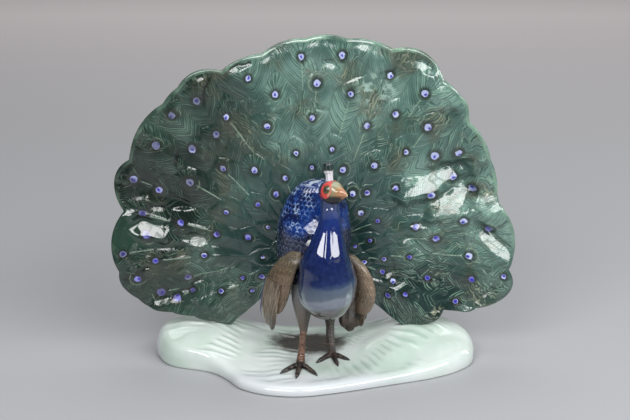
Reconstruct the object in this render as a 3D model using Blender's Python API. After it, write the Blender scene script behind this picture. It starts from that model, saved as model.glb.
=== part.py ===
"""A glazed porcelain peacock displaying its train, standing on a low modelled ground.

The bird, its fanned train and the ground are one casting, so they are one solid. Metres, +Z up.
The bird faces -Y and +X is to the viewer's right. The origin is under the middle of the ground,
on the surface that the figurine stands on.
"""

import math

import bmesh
import bpy
from mathutils import Matrix, Vector

# Driving dimensions
GROUND_WIDTH = 0.278
GROUND_DEPTH = 0.141
GROUND_THICKNESS = 0.009
GROUND_EDGE_ROUND = 0.009
MOUND_HEIGHT = 0.021
MOUND_SPREAD_X = 0.040
MOUND_SPREAD_Y = 0.034

BIRD_HEIGHT = 0.186
BIRD_X = 0.0
BIRD_Y = 0.0

FAN_REACH = 0.200
FAN_HUB_X = -0.001
FAN_HUB_Y = 0.040
FAN_HUB_HEIGHT = 0.083
FAN_INNER_REACH = 0.012
FAN_RIM_THICKNESS = 0.0045
FAN_HUB_THICKNESS = 0.011
FAN_DISH = 0.014
FAN_LEAN = 0.045
FAN_WAVE = 0.0042
FAN_SHINGLE = 0.0013
FAN_QUILL_RISE = 0.0011
FAN_BACK_RISE = 0.0030

# The train spans from its lowest feather on one side, over the top, to the lowest on the other.
FAN_FIRST_ANGLE = -38.5
FAN_LAST_ANGLE = 222.0

# Each lobe of the rim: the direction of its tip from the hub in degrees, its reach in hundredths of
# FAN_REACH, and how fast it falls away beside its tip, per metre.
RIM_LOBES = (
    (-36, 49, 11), (-30, 55, 11), (-23.5, 63, 20), (-17.4, 76, 150), (-8, 89.2, 30),
    (5.2, 89.2, 7), (11.2, 87.1, 15), (21, 85.4, 7), (30.4, 88.7, 6), (38.7, 91.2, 6),
    (48.3, 96.3, 30), (52.6, 97.1, 10), (62.4, 101.9, 13), (73.6, 98.5, 6), (85.1, 97.4, 8),
    (92.8, 95.6, 6), (108.4, 93, 8), (122.5, 96.2, 14), (127.7, 94.6, 10), (138.7, 94.3, 6),
    (145.3, 91.8, 12), (156.1, 92.4, 18), (174.5, 87.4, 9), (185.8, 84.4, 20), (191.3, 79.5, 30),
    (196.5, 69, 30), (203, 59.5, 20), (210, 54, 20), (217, 48, 10),
)

# Rows of shorter feathers over the rim feathers: how far out the eye of a row lies, as a share of
# the rim's reach, the angles of its first and last feather, and how many there are.
FEATHER_ROWS = (
    (0.26, -30, 213, 14),
    (0.39, -31, 214, 15),
    (0.51, -27, 211, 16),
    (0.64, -27, 209, 16),
    (0.78, -24, 207, 19),
)
# The free end of a feather reaches this far past its eye, as a share of the rim's reach.
FEATHER_TIP = 0.065
# The short stiff feathers that prop the train from behind, in the same terms.
PROP_ROW = (0.34, -26, 206, 13)

# The ground's outline, in hundredths of its half width and half depth, from the left end round the
# front. The front left is drawn in, and the back is a plain curve.
GROUND_OUTLINE = (
    (-97, 26), (-88, 3), (-65, -15), (-53, -38), (-44, -65), (-28, -83), (-8, -88), (14, -78),
    (45, -56), (76, -32), (94, -7), (102, 22), (100, 62), (78, 97), (38, 110), (-12, 111),
    (-60, 108), (-90, 88), (-100, 58),
)

COLUMNS_PER_LOBE = 4
GROUND_COLUMNS = 48
BODY_SEGMENTS = 20


def glaze(name, colour, roughness):
    """A material for one painted colour under the clear glaze."""
    material = bpy.data.materials.new(name)
    material.use_nodes = True
    shader = material.node_tree.nodes["Principled BSDF"]
    shader.inputs["Base Color"].default_value = (*colour, 1.0)
    shader.inputs["Roughness"].default_value = roughness
    shader.inputs["Metallic"].default_value = 0.0
    return material


def clear_scene():
    for obj in list(bpy.data.objects):
        bpy.data.objects.remove(obj, do_unlink=True)


def mesh_object(name, points, faces, material):
    mesh = bpy.data.meshes.new(name)
    mesh.from_pydata([tuple(p) for p in points], [], faces)
    mesh.materials.append(material)
    work = bmesh.new()
    work.from_mesh(mesh)
    bmesh.ops.recalc_face_normals(work, faces=work.faces)
    work.to_mesh(mesh)
    work.free()
    obj = bpy.data.objects.new(name, mesh)
    bpy.context.scene.collection.objects.link(obj)
    return obj


def loft(name, rings, material):
    """A closed skin through rings of equal length, capped at the first ring and the last."""
    count = len(rings[0])
    points = [p for ring in rings for p in ring]
    faces = []
    for k in range(len(rings) - 1):
        low, high = k * count, (k + 1) * count
        for i in range(count):
            j = (i + 1) % count
            faces.append((low + i, low + j, high + j, high + i))
    faces.append(tuple(reversed(range(count))))
    faces.append(tuple(range(len(points) - count, len(points))))
    return mesh_object(name, points, faces, material)


# The bird. Its tables are in hundredths of BIRD_HEIGHT: across (+ to the viewer's right), deep
# (- towards the viewer) and up from the ground's top surface.


def on_bird(across, deep, up):
    share = BIRD_HEIGHT / 100
    return Vector(
        (BIRD_X + across * share, BIRD_Y + deep * share, GROUND_THICKNESS + up * share)
    )


BREAST_AND_NECK = (
    # up, across, deep, half width, half depth
    (23.6, 7.0, -4.8, 3.0, 3.8),
    (25.7, 7.0, -4.8, 8.2, 10.8),
    (30.9, 6.4, -5.4, 12.2, 14.0),
    (36.7, 6.3, -5.9, 13.6, 15.1),
    (41.5, 6.7, -6.5, 13.7, 15.6),
    (46.1, 6.4, -6.7, 12.9, 14.5),
    (51.1, 5.7, -7.0, 11.8, 12.6),
    (56.2, 6.3, -7.0, 9.4, 10.5),
    (61.0, 6.9, -6.8, 7.6, 8.6),
    (66.0, 7.5, -6.3, 6.0, 7.0),
    (70.7, 7.8, -6.0, 4.8, 5.7),
    (75.1, 7.6, -6.0, 4.3, 5.1),
    (79.0, 7.8, -6.8, 4.5, 5.1),
    (83.1, 8.0, -8.0, 4.2, 4.7),
)

# The raised cape of scales over the back, which stands behind the neck like a hood.
CAPE = (
    # up, across, deep, half width, half depth
    (26.0, 2.0, 9.0, 8.0, 8.0),
    (31.0, 1.5, 9.0, 13.0, 12.5),
    (40.0, 0.5, 8.8, 15.9, 14.0),
    (48.0, 0.3, 8.6, 16.8, 13.6),
    (55.5, 0.4, 8.6, 17.0, 12.8),
    (63.0, 0.7, 8.6, 16.6, 11.6),
    (70.0, 1.1, 8.6, 15.3, 10.2),
    (76.0, 1.6, 8.4, 13.0, 8.6),
    (81.0, 2.1, 8.0, 9.8, 6.8),
    (84.0, 2.6, 7.8, 5.8, 4.4),
    (85.4, 2.8, 7.8, 2.0, 1.6),
)

# Each rounded mass: centre, half sizes, and the half size downwards where that differs.
RUMP = ((1.0, 9.5, 39.0), (13.5, 17.0, 16.0), 16.0)
HEAD = ((8.4, -9.3, 84.6), (6.3, 5.0, 5.5), 5.6)
HEAD_TURN = -45.0
# The dark feathers that show under the wing on the bird's left.
UNDER_WING = ((16.9, 3.0, 19.5), (3.8, 3.0, 7.5), 6.8)

BEAK = (
    # across, deep, up, radius
    (10.4, -11.8, 85.5, 3.7),
    (12.7, -14.1, 85.7, 2.5),
    (14.4, -15.9, 85.7, 1.2),
    (15.2, -16.8, 85.4, 0.35),
)
CREST = (
    (7.6, -8.3, 88.4, 1.9),
    (7.4, -8.1, 93.0, 1.75),
    (7.1, -8.1, 94.0, 2.2),
    (6.9, -8.1, 97.0, 2.35),
    (6.9, -8.1, 98.0, 1.9),
)
# Legs, in the same terms as the beak. Each shank ends below the ground's surface.
NEAR_THIGH = (
    (-3.6, 1.0, 36.0, 6.6),
    (-4.4, -1.6, 29.0, 5.2),
    (-4.4, -3.6, 21.0, 3.0),
    (-4.2, -4.3, 15.6, 1.8),
)
FAR_THIGH = (
    (9.2, 4.0, 34.0, 7.0),
    (8.6, 3.8, 26.0, 5.4),
    (8.1, 3.4, 19.0, 2.8),
    (8.1, 3.2, 15.0, 1.9),
)
NEAR_SHANK = (
    (-4.2, -4.2, 17.0, 1.6),
    (-4.9, -6.0, 9.0, 1.5),
    (-5.5, -8.0, 3.2, 1.9),
    (-5.7, -8.6, -1.0, 2.5),
)
FAR_SHANK = (
    (8.1, 3.3, 16.5, 2.0),
    (8.3, 3.2, 9.0, 1.9),
    (8.8, 3.2, 3.4, 2.0),
    (9.1, 3.0, -1.0, 2.5),
)
SPUR = ((8.2, 3.2, 5.6, 1.1), (6.2, 2.8, 6.0, 0.9), (4.6, 2.4, 6.6, 0.3))

# Toes: where each claw ends. All the toes of a foot start where its shank meets the ground.
NEAR_FOOT = (-5.7, -8.6)
NEAR_CLAWS = ((-15.0, -18.2), (-7.5, -23.6), (2.2, -20.4), (-7.0, -2.0))
FAR_FOOT = (9.1, 3.0)
FAR_CLAWS = ((1.6, -6.3), (11.8, -9.8), (17.8, -4.4), (9.6, 9.4))
TOE_RADIUS = 1.45

# A drooping wing: up, across, deep, half chord, half thickness. The chord's direction in plan
# is in LEFT_CHORD and RIGHT_CHORD, from the trailing edge to the leading edge.
LEFT_WING = (
    (54.0, -7.5, -3.0, 3.0, 2.0),
    (50.5, -10.0, -3.6, 5.6, 2.8),
    (46.0, -12.8, -3.2, 7.0, 3.0),
    (40.0, -15.2, -2.2, 8.0, 3.0),
    (33.0, -17.0, -1.0, 8.2, 2.6),
    (27.0, -18.6, 0.2, 7.6, 2.0),
    (23.0, -19.6, 1.0, 5.4, 1.5),
)
RIGHT_WING = (
    (51.0, 17.0, 1.0, 2.6, 2.0),
    (47.0, 20.0, 0.4, 5.4, 2.8),
    (42.0, 22.0, 0.4, 7.2, 3.2),
    (36.0, 23.2, 0.8, 8.0, 3.2),
    (31.0, 23.2, 1.2, 8.2, 2.8),
    (26.0, 22.2, 1.8, 7.6, 2.2),
    (22.0, 21.0, 2.4, 5.4, 1.6),
)
LEFT_CHORD = (0.68, -0.73)
RIGHT_CHORD = (0.62, -0.78)
WING_SEGMENTS = 14

# The long wing feathers below each wing: place along the chord where one starts, from -1 at the
# trailing edge to 1, the same for its tip, how far up its tip is, and its half width.
QUILLS = ((-0.55, -0.55, 20.5, 3.0), (-0.15, -0.20, 18.0, 3.0), (0.28, 0.16, 15.0, 2.6))
QUILL_THICKNESS = 1.1
QUILL_START = 32.0


def ellipsoid(name, mass, material, turn=0.0, segments=BODY_SEGMENTS, rings=12):
    """A rounded mass that may reach further up than down, turned about the vertical."""
    centre, (wide, deep, high), down = mass
    share = BIRD_HEIGHT / 100
    bpy.ops.mesh.primitive_uv_sphere_add(segments=segments, ring_count=rings, radius=1.0)
    obj = bpy.context.object
    obj.name = name
    for vertex in obj.data.vertices:
        p = vertex.co
        tall = high if p.z > 0 else down
        vertex.co = Vector((p.x * wide, p.y * deep, p.z * tall)) * share
    obj.data.transform(Matrix.Rotation(math.radians(turn), 4, "Z"))
    obj.data.transform(Matrix.Translation(on_bird(*centre)))
    obj.data.materials.append(material)
    return obj


def limb(name, stations, material, sides=3):
    """A round tapering piece through its stations: a curve with a radius at each point."""
    curve = bpy.data.curves.new(name, "CURVE")
    curve.dimensions = "3D"
    curve.bevel_depth = BIRD_HEIGHT / 100
    curve.bevel_resolution = sides
    curve.use_fill_caps = True
    spline = curve.splines.new("POLY")
    spline.points.add(len(stations) - 1)
    for point, (across, deep, up, radius) in zip(spline.points, stations):
        point.co = (*on_bird(across, deep, up), 1.0)
        point.radius = radius
    rough = bpy.data.objects.new(name, curve)
    bpy.context.scene.collection.objects.link(rough)
    bpy.context.view_layer.update()
    graph = bpy.context.evaluated_depsgraph_get()
    mesh = bpy.data.meshes.new_from_object(rough.evaluated_get(graph))
    bpy.data.objects.remove(rough, do_unlink=True)
    work = bmesh.new()
    work.from_mesh(mesh)
    bmesh.ops.remove_doubles(work, verts=work.verts, dist=0.00001)
    bmesh.ops.recalc_face_normals(work, faces=work.faces)
    work.to_mesh(mesh)
    work.free()
    mesh.materials.clear()
    mesh.materials.append(material)
    obj = bpy.data.objects.new(name, mesh)
    bpy.context.scene.collection.objects.link(obj)
    return obj


def body_of(name, stations, material):
    """Level oval rings, one over another."""
    rings = []
    for up, across, deep, half_width, half_depth in stations:
        ring = []
        for i in range(BODY_SEGMENTS):
            turn = 2 * math.pi * i / BODY_SEGMENTS
            ring.append(
                on_bird(across + half_width * math.cos(turn), deep + half_depth * math.sin(turn), up)
            )
        rings.append(ring)
    return loft(name, rings, material)


def wing(name, stations, chord, material):
    """The covered upper part of a drooping wing: flat oval rings along its length."""
    along = Vector((*chord, 0)).normalized()
    through = Vector((-along.y, along.x, 0))
    rings = []
    for up, across, deep, half_chord, half_thick in stations:
        ring = []
        for i in range(WING_SEGMENTS):
            turn = 2 * math.pi * i / WING_SEGMENTS
            offset = along * half_chord * math.cos(turn) + through * half_thick * math.sin(turn)
            ring.append(on_bird(across + offset.x, deep + offset.y, up))
        rings.append(ring)
    return loft(name, rings, material)


def wing_at(stations, up):
    """The centre and half chord of a wing at a height, between its stations or below the last."""
    for upper, lower in zip(stations, stations[1:]):
        if lower[0] <= up:
            t = (upper[0] - up) / (upper[0] - lower[0])
            return [a + (b - a) * t for a, b in zip(upper, lower)]
    return list(stations[-1])


def quill(name, stations, chord, shape, material):
    """One long wing feather: a flat blade with a round tip, hanging from under the wing."""
    start, end, tip_up, half_width = shape
    along = Vector((*chord, 0)).normalized()
    through = Vector((-along.y, along.x, 0))
    _, across, deep, half_chord, _ = wing_at(stations, QUILL_START)
    last = stations[-1]
    first = Vector((across, deep, QUILL_START)) + along * half_chord * start
    tip = Vector((last[1], last[2] + 1.2, tip_up)) + along * last[3] * 1.25 * end
    rings = []
    for t, width in ((0.0, 0.8), (0.45, 1.0), (0.8, 0.92), (0.94, 0.62), (1.0, 0.22)):
        centre = first.lerp(tip, t)
        ring = []
        for i in range(8):
            turn = 2 * math.pi * i / 8
            offset = along * half_width * width * math.cos(turn)
            offset += through * QUILL_THICKNESS * (0.5 + 0.5 * width) * math.sin(turn)
            ring.append(on_bird(*(centre + offset)))
        rings.append(ring)
    return loft(name, rings, material)


def toes(name, foot, claws, material):
    """The toes of one foot, each arched a little and ending in a claw on the ground."""
    made = []
    for number, claw in enumerate(claws):
        stations = []
        for t, up, radius in ((0.0, 0.5, 1.0), (0.35, 0.7, 1.0), (0.75, 0.4, 0.8), (1.0, 0.0, 0.35)):
            across = foot[0] + (claw[0] - foot[0]) * t
            deep = foot[1] + (claw[1] - foot[1]) * t
            stations.append((across, deep, up, TOE_RADIUS * radius))
        made.append(limb(f"{name}_{number + 1}", stations, material, sides=1))
    return made


# The train


def rim_reach(angle):
    """How far the rim is from the hub in this direction, in metres: the furthest lobe there."""
    best = 0.0
    for tip, share, fall in RIM_LOBES:
        reach = FAN_REACH * share / 100
        beside = math.radians(angle - tip) * reach
        best = max(best, reach - fall * beside * beside)
    return best


def fan_depth(angle, share):
    """The middle of the train's wall, as its depth behind the origin: leaning, dished and waved."""
    turn = math.radians(angle)
    reach = share * rim_reach(angle)
    lean = FAN_LEAN * abs(reach * math.sin(turn))
    dish = FAN_DISH * share * share * (0.35 + 0.65 * abs(math.cos(turn)))
    wave = math.sin(5.0 * turn + 0.6) + 0.55 * math.sin(11.0 * turn + 2.1) + 0.35 * math.sin(19.0 * turn)
    return FAN_HUB_Y + lean - dish + FAN_WAVE * wave * share * share


def row_edge(row, angle):
    """Where the free ends of a row of feathers lie in this direction, as a share of the reach."""
    share, first, last, count = row
    step = (last - first) / (count - 1)
    place = (angle - first) / step
    off = place - round(place)
    return share + FEATHER_TIP * (1 - 1.9 * off * off)


def nearest_tip(angle):
    return min(abs(angle - lobe[0]) for lobe in RIM_LOBES)


def fan_columns():
    """The angles of the train's sections: each lobe's tip and even steps between the tips."""
    tips = [FAN_FIRST_ANGLE] + [lobe[0] for lobe in RIM_LOBES] + [FAN_LAST_ANGLE]
    angles = []
    for a, b in zip(tips, tips[1:]):
        for k in range(COLUMNS_PER_LOBE):
            angles.append(a + (b - a) * k / COLUMNS_PER_LOBE)
    return angles + [tips[-1]]


def fan_section(angle):
    """One section of the train from the hub outwards: front with its shingled rows, rim, back."""
    turn = math.radians(angle)
    reach = rim_reach(angle)
    inner = FAN_INNER_REACH / reach

    def at(share, offset):
        r = share * reach
        return Vector(
            (
                FAN_HUB_X + r * math.cos(turn),
                fan_depth(angle, share) + offset,
                GROUND_THICKNESS + FAN_HUB_HEIGHT + r * math.sin(turn),
            )
        )

    def half(share):
        return (FAN_HUB_THICKNESS + (FAN_RIM_THICKNESS - FAN_HUB_THICKNESS) * share) / 2

    front = [(inner, FAN_SHINGLE)]
    for row in FEATHER_ROWS:
        edge = row_edge(row, angle)
        front.append((edge - 0.012, FAN_SHINGLE))
        front.append((edge + 0.006, 0.0))
    ridge = FAN_QUILL_RISE * max(0.0, 1 - nearest_tip(angle) / 1.5)
    front.append((0.90, ridge))
    front.append((0.965, ridge * 0.3))
    section = [at(share, -half(share) - rise) for share, rise in front]
    section.append(at(1.0, -0.28 * FAN_RIM_THICKNESS))
    section.append(at(1.0, 0.28 * FAN_RIM_THICKNESS))
    edge = row_edge(PROP_ROW, angle)
    back = [(0.95, 0.0), (0.62, 0.4 * ridge), (edge + 0.012, 0.0)]
    back += [(edge - 0.006, FAN_BACK_RISE), (inner, FAN_BACK_RISE)]
    section += [at(share, half(share) + rise) for share, rise in back]
    return section


def train(material):
    return loft("train", [fan_section(angle) for angle in fan_columns()], material)


# The ground


def closed_curve(points, count):
    """Evenly numbered points on a smooth closed curve through the given ones."""
    made = []
    n = len(points)
    for k in range(count):
        place = k * n / count
        i = int(place)
        t = place - i
        p0, p1, p2, p3 = (Vector(points[(i + j - 1) % n]) for j in range(4))
        made.append(
            0.5
            * (
                2 * p1
                + (p2 - p0) * t
                + (2 * p0 - 5 * p1 + 4 * p2 - p3) * t * t
                + (3 * p1 - p0 - 3 * p2 + p3) * t**3
            )
        )
    return made


def ground_height(x, y):
    """The top surface: level under the bird, with a mound each side that carries the train."""
    height = GROUND_THICKNESS
    for middle in (-0.36 * GROUND_WIDTH, 0.34 * GROUND_WIDTH):
        along = (x - middle) / MOUND_SPREAD_X
        deep = (y - FAN_HUB_Y) / MOUND_SPREAD_Y
        height += MOUND_HEIGHT * math.exp(-0.5 * (along**2 + deep**2) ** 1.2)
    return height


def ground(material):
    """The flat underside, a rounded edge and the mounded top."""
    half = Vector((GROUND_WIDTH / 2, GROUND_DEPTH / 2))
    outline = [
        Vector((p.x * half.x / 100, p.y * half.y / 100))
        for p in closed_curve(GROUND_OUTLINE, GROUND_COLUMNS)
    ]
    middle = sum(outline, Vector((0, 0))) / len(outline)

    def ring(inset, lift):
        made = []
        for p in outline:
            inwards = middle - p
            q = p + inwards * min(1.0, inset / inwards.length)
            made.append(Vector((q.x, q.y, lift * ground_height(q.x, q.y))))
        return made

    def scaled(share):
        made = []
        for p in outline:
            q = middle + (p - middle) * share
            made.append(Vector((q.x, q.y, ground_height(q.x, q.y))))
        return made

    edge = GROUND_EDGE_ROUND
    rings = [ring(0.12 * edge, 0.0), ring(0.0, 0.12), ring(0.0, 0.4), ring(0.25 * edge, 0.76)]
    rings.append(ring(1.0 * edge, 0.985))
    rings += [scaled(share) for share in (0.8, 0.64, 0.46, 0.26, 0.1)]
    return loft("ground", rings, material)


def unite(parts, name):
    """All the parts as one closed solid, joined one after another."""
    whole = parts[0]
    for part in parts[1:]:
        joint = whole.modifiers.new("join " + part.name, "BOOLEAN")
        joint.operation = "UNION"
        joint.solver = "EXACT"
        joint.object = part
        bpy.context.view_layer.update()
        graph = bpy.context.evaluated_depsgraph_get()
        mesh = bpy.data.meshes.new_from_object(whole.evaluated_get(graph))
        whole.modifiers.clear()
        whole.data = mesh
        bpy.data.objects.remove(part, do_unlink=True)
    whole.name = name
    whole.data.name = name
    return whole


def build():
    clear_scene()
    white = glaze("white_glaze", (0.78, 0.84, 0.80), 0.12)
    green = glaze("green_glaze", (0.07, 0.15, 0.11), 0.12)
    blue = glaze("blue_glaze", (0.01, 0.03, 0.20), 0.08)
    brown = glaze("brown_glaze", (0.20, 0.12, 0.07), 0.2)
    ochre = glaze("ochre_glaze", (0.42, 0.25, 0.13), 0.2)

    parts = [ground(white), train(green)]
    parts.append(ellipsoid("rump", RUMP, brown))
    parts.append(body_of("cape", CAPE, blue))
    parts.append(body_of("breast_and_neck", BREAST_AND_NECK, blue))
    parts.append(ellipsoid("head", HEAD, ochre, turn=HEAD_TURN, segments=16, rings=10))
    parts.append(limb("beak", BEAK, ochre))
    parts.append(ellipsoid("under_wing", UNDER_WING, brown, segments=12, rings=8))
    parts.append(limb("crest", CREST, white))
    for name, stations, chord in (
        ("left_wing", LEFT_WING, LEFT_CHORD),
        ("right_wing", RIGHT_WING, RIGHT_CHORD),
    ):
        parts.append(wing(name, stations, chord, brown))
        for number, shape in enumerate(QUILLS):
            parts.append(quill(f"{name}_quill_{number + 1}", stations, chord, shape, brown))
    for name, stations in (
        ("near_thigh", NEAR_THIGH),
        ("far_thigh", FAR_THIGH),
        ("near_shank", NEAR_SHANK),
        ("far_shank", FAR_SHANK),
        ("spur", SPUR),
    ):
        parts.append(limb(name, stations, brown, sides=2))
    parts += toes("near_toe", NEAR_FOOT, NEAR_CLAWS, brown)
    parts += toes("far_toe", FAR_FOOT, FAR_CLAWS, brown)

    figurine = unite(parts, "peacock_figurine")
    collection = bpy.data.collections.new("peacock figurine")
    bpy.context.scene.collection.children.link(collection)
    for other in list(figurine.users_collection):
        other.objects.unlink(figurine)
    collection.objects.link(figurine)
    figurine.data.shade_smooth()
    figurine.data.set_sharp_from_angle(angle=math.radians(40))


build()
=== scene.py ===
"""A glazed porcelain peacock figurine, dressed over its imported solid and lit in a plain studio."""

import math

import bpy
import numpy as np
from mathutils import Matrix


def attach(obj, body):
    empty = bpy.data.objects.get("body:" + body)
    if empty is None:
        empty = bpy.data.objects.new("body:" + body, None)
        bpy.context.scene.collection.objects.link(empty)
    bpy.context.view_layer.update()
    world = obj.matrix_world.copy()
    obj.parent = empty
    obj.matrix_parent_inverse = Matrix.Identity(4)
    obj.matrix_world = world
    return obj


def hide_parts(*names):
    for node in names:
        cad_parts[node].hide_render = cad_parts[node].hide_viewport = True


NODE = "peacock_figurine"

# Sizes of the solid that this scene follows, in metres
GROUND_WIDTH = 0.278
GROUND_DEPTH = 0.141
GROUND_THICKNESS = 0.009
GROUND_EDGE_ROUND = 0.009
MOUND_HEIGHT = 0.021
MOUND_SPREAD = (0.040, 0.034)
UNIT = 0.00186  # a hundredth of the bird's height
UNIT_MM = UNIT * 1000

FAN_REACH = 0.200
FAN_HUB = (-0.001, 0.040, 0.092)
FAN_INNER_REACH = 0.012
FAN_RIM_THICKNESS = 0.0045
FAN_HUB_THICKNESS = 0.011
FAN_DISH = 0.014
FAN_LEAN = 0.045
FAN_WAVE = 0.0042
FAN_ANGLES = (-38.5, 222.0)
BACK_RISE = 0.0030
BACK_RIBS = 0.0006
PROP_ROW = (0.34, -26, 206, 13)  # share of the reach, first and last direction, number of feathers
PROP_TIP = 0.065

# Each lobe of the rim: direction of its tip in degrees, reach in hundredths, fall per metre
RIM_LOBES = np.array((
    (-36, 49, 11), (-30, 55, 11), (-23.5, 63, 20), (-17.4, 76, 150), (-8, 89.2, 30),
    (5.2, 89.2, 7), (11.2, 87.1, 15), (21, 85.4, 7), (30.4, 88.7, 6), (38.7, 91.2, 6),
    (48.3, 96.3, 30), (52.6, 97.1, 10), (62.4, 101.9, 13), (73.6, 98.5, 6), (85.1, 97.4, 8),
    (92.8, 95.6, 6), (108.4, 93, 8), (122.5, 96.2, 14), (127.7, 94.6, 10), (138.7, 94.3, 6),
    (145.3, 91.8, 12), (156.1, 92.4, 18), (174.5, 87.4, 9), (185.8, 84.4, 20), (191.3, 79.5, 30),
    (196.5, 69, 30), (203, 59.5, 20), (210, 54, 20), (217, 48, 10),
))

# Each feather of the train, by its eye: direction from the hub in degrees, distance in mm
FEATHERS = np.array((
    (-22.3, 89), (-17.7, 133), (-17.3, 75), (-13.4, 64), (-13.0, 37), (-11.1, 104), (-8.2, 142),
    (-7.5, 47), (-5.7, 169), (-2.9, 64), (-0.6, 86), (0.3, 138), (8.8, 110), (9.1, 157), (12.5, 39),
    (14.4, 136), (15.3, 53), (16.8, 95), (23.3, 152), (28.6, 118), (29.1, 66), (29.8, 142), (36.9, 158),
    (40.8, 140), (40.9, 96), (42.4, 58), (49.3, 125), (49.8, 154), (49.8, 75), (56.6, 175), (56.6, 98),
    (57.5, 67), (60.4, 146), (67.4, 174), (67.9, 126), (70.7, 82), (76.9, 148), (79.5, 97), (81.7, 179),
    (88.2, 153), (89.7, 79), (89.8, 123), (92.9, 176), (98.3, 93), (102.2, 147), (108.0, 74),
    (108.0, 123), (108.6, 168), (118.7, 64), (120.1, 145), (122.3, 92), (124.9, 170), (126.6, 137),
    (133.1, 174), (133.8, 110), (135.0, 66), (136.6, 141), (142.8, 167), (145.9, 46), (147.1, 125),
    (151.9, 84), (155.4, 169), (155.5, 145), (162.9, 58), (164.7, 118), (164.7, 152), (166.6, 85),
    (171.5, 145), (177.9, 164), (178.9, 94), (180.6, 136), (181.8, 43), (186.6, 153), (189.7, 110),
    (193.5, 136), (196.4, 109), (197.4, 124), (198.7, 64), (204.2, 48), (60.0, 38), (92.0, 44),
    (122.0, 38), (170.0, 28), (12.0, 22), (-30.0, 52), (-28.0, 76), (212.0, 62), (202.0, 86),
))
TRAIN_COLUMNS = 561
FRONT_ROWS = 122
BACK_ROWS = 26
FRONT_SHARE = 0.982  # how far out the front's rows go, in shares of the reach
BACK_SHARE = 0.98
# The rolled edge of the train: shares of the reach, and sides in halves of the thickness
TRAIN_EDGE = ((0.992, 0.998, 1.0, 1.0, 0.998, 0.992), (-0.85, -0.55, -0.2, 0.2, 0.55, 0.85))
# The two guides there: across and along in mm and size, then phase, clearance and share of the reach
EDGE_GUIDES = ((0.0, 14.0, 1.0), (0.0, 0.0, 1.0))
# Places of the studio that patches mirror to the camera: azimuth and elevation in degrees
LEFT_BOX = (-23.0, 38.0)
RIGHT_BOX = (43.0, 37.0)
BETWEEN_BOXES = (5.0, 38.0)
DARK = (15.0, 8.0)
# Turned patches of the train: direction and distance from the hub in mm, half length, half width,
# heading of the length in degrees, what it mirrors to the camera, share of the turn
GLEAMS = (
    (33.0, 124, 31, 11, 24, RIGHT_BOX, 1.0), (22.4, 132, 22, 12, 42, RIGHT_BOX, 1.0),
    (18.0, 160, 13, 12, 20, RIGHT_BOX, 0.6), (4.0, 160, 24, 7, -46, RIGHT_BOX, 1.0),
    (169.6, 142, 17, 8, -22, LEFT_BOX, 1.0), (165.1, 164, 5, 6, 60, LEFT_BOX, 0.9),
    (171.9, 101, 9, 6, -20, LEFT_BOX, 1.0), (8.9, 85, 8, 5, 0, RIGHT_BOX, 0.8),
    (16.5, 99, 8, 4, 20, RIGHT_BOX, 0.8), (62.0, 192, 14, 5, -15, RIGHT_BOX, 0.7),
    (85.0, 169, 6, 5, 0, LEFT_BOX, 0.9), (-18.5, 112, 36, 17, -14, DARK, 0.95),
    (158.5, 134, 20, 5, -8, DARK, 0.8), (201.5, 132, 17, 8, -8, DARK, 0.9),
)
# Creases of the train, grooved, with painted shade in them: the two ends, as direction in degrees and
# distance in mm, and the half width
CREASES = (
    (124.0, 163, 121.5, 176, 1.7), (121.5, 176, 117.5, 183, 1.3), (164.0, 152, 160.0, 137, 2.0),
    (163.5, 186, 167.0, 170, 1.8), (46.0, 182, 49.5, 170, 3.4), (66.5, 183, 70.0, 173, 1.6),
    (113.5, 184, 107.0, 180, 2.0), (30.0, 175, 27.5, 158, 2.2), (27.5, 158, 26.0, 120, 1.4),
    (12.0, 176, 8.0, 158, 2.0), (-8.0, 170, -14.0, 150, 1.8), (186.0, 166, 183.0, 142, 1.8),
    (140.0, 150, 146.0, 142, 1.4), (196.0, 118, 190.0, 96, 1.6),
)
CREASE_DEPTH = 0.0011
VANE_PUFF = 0.0011
TIP_LIFT = 0.0007
QUILL_RISE = 0.0004
EYE_DIP = 0.0004
TRAIN_UNEVEN = 0.0009
OPEN_ANGLE = 52.0  # between a shaft and its barbs, in degrees
BOLD_SHARE = 0.38  # of the feathers have a pale shaft

# The ground's outline, in hundredths of its half width and half depth
GROUND_OUTLINE = (
    (-97, 26), (-88, 3), (-65, -15), (-53, -38), (-44, -65), (-28, -83), (-8, -88), (14, -78),
    (45, -56), (76, -32), (94, -7), (102, 22), (100, 62), (78, 97), (38, 110), (-12, 111),
    (-60, 108), (-90, 88), (-100, 58),
)
GROUND_COLUMNS = 280
GROUND_ROWS = (16, 84)  # of the edge and of the top
# The ground's rounded edge: inset in roundings, and height in shares of the height above
GROUND_EDGE = (
    (0.14, 0.0), (0.02, 0.08), (0.0, 0.22), (0.0, 0.45), (0.10, 0.68), (0.32, 0.86), (0.62, 0.96), (1.0, 1.0),
)
STROKE_RISE = 0.0011
GROUND_UNEVEN = 0.0006

# Rows and columns of the bird's grids
BREAST_GRID, CAPE_GRID, RUMP_GRID, HEAD_GRID = (140, 220), (160, 210), (60, 96), (110, 88)
EYE_GRID, CREST_GRID, WING_GRID, BLADE_GRID = (24, 36), (60, 40), (96, 96), (44, 28)
THIGH_GRID, SHANK_GRID, SPUR_GRID, TOE_GRID = (60, 56), (90, 32), (24, 16), (40, 20)

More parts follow.
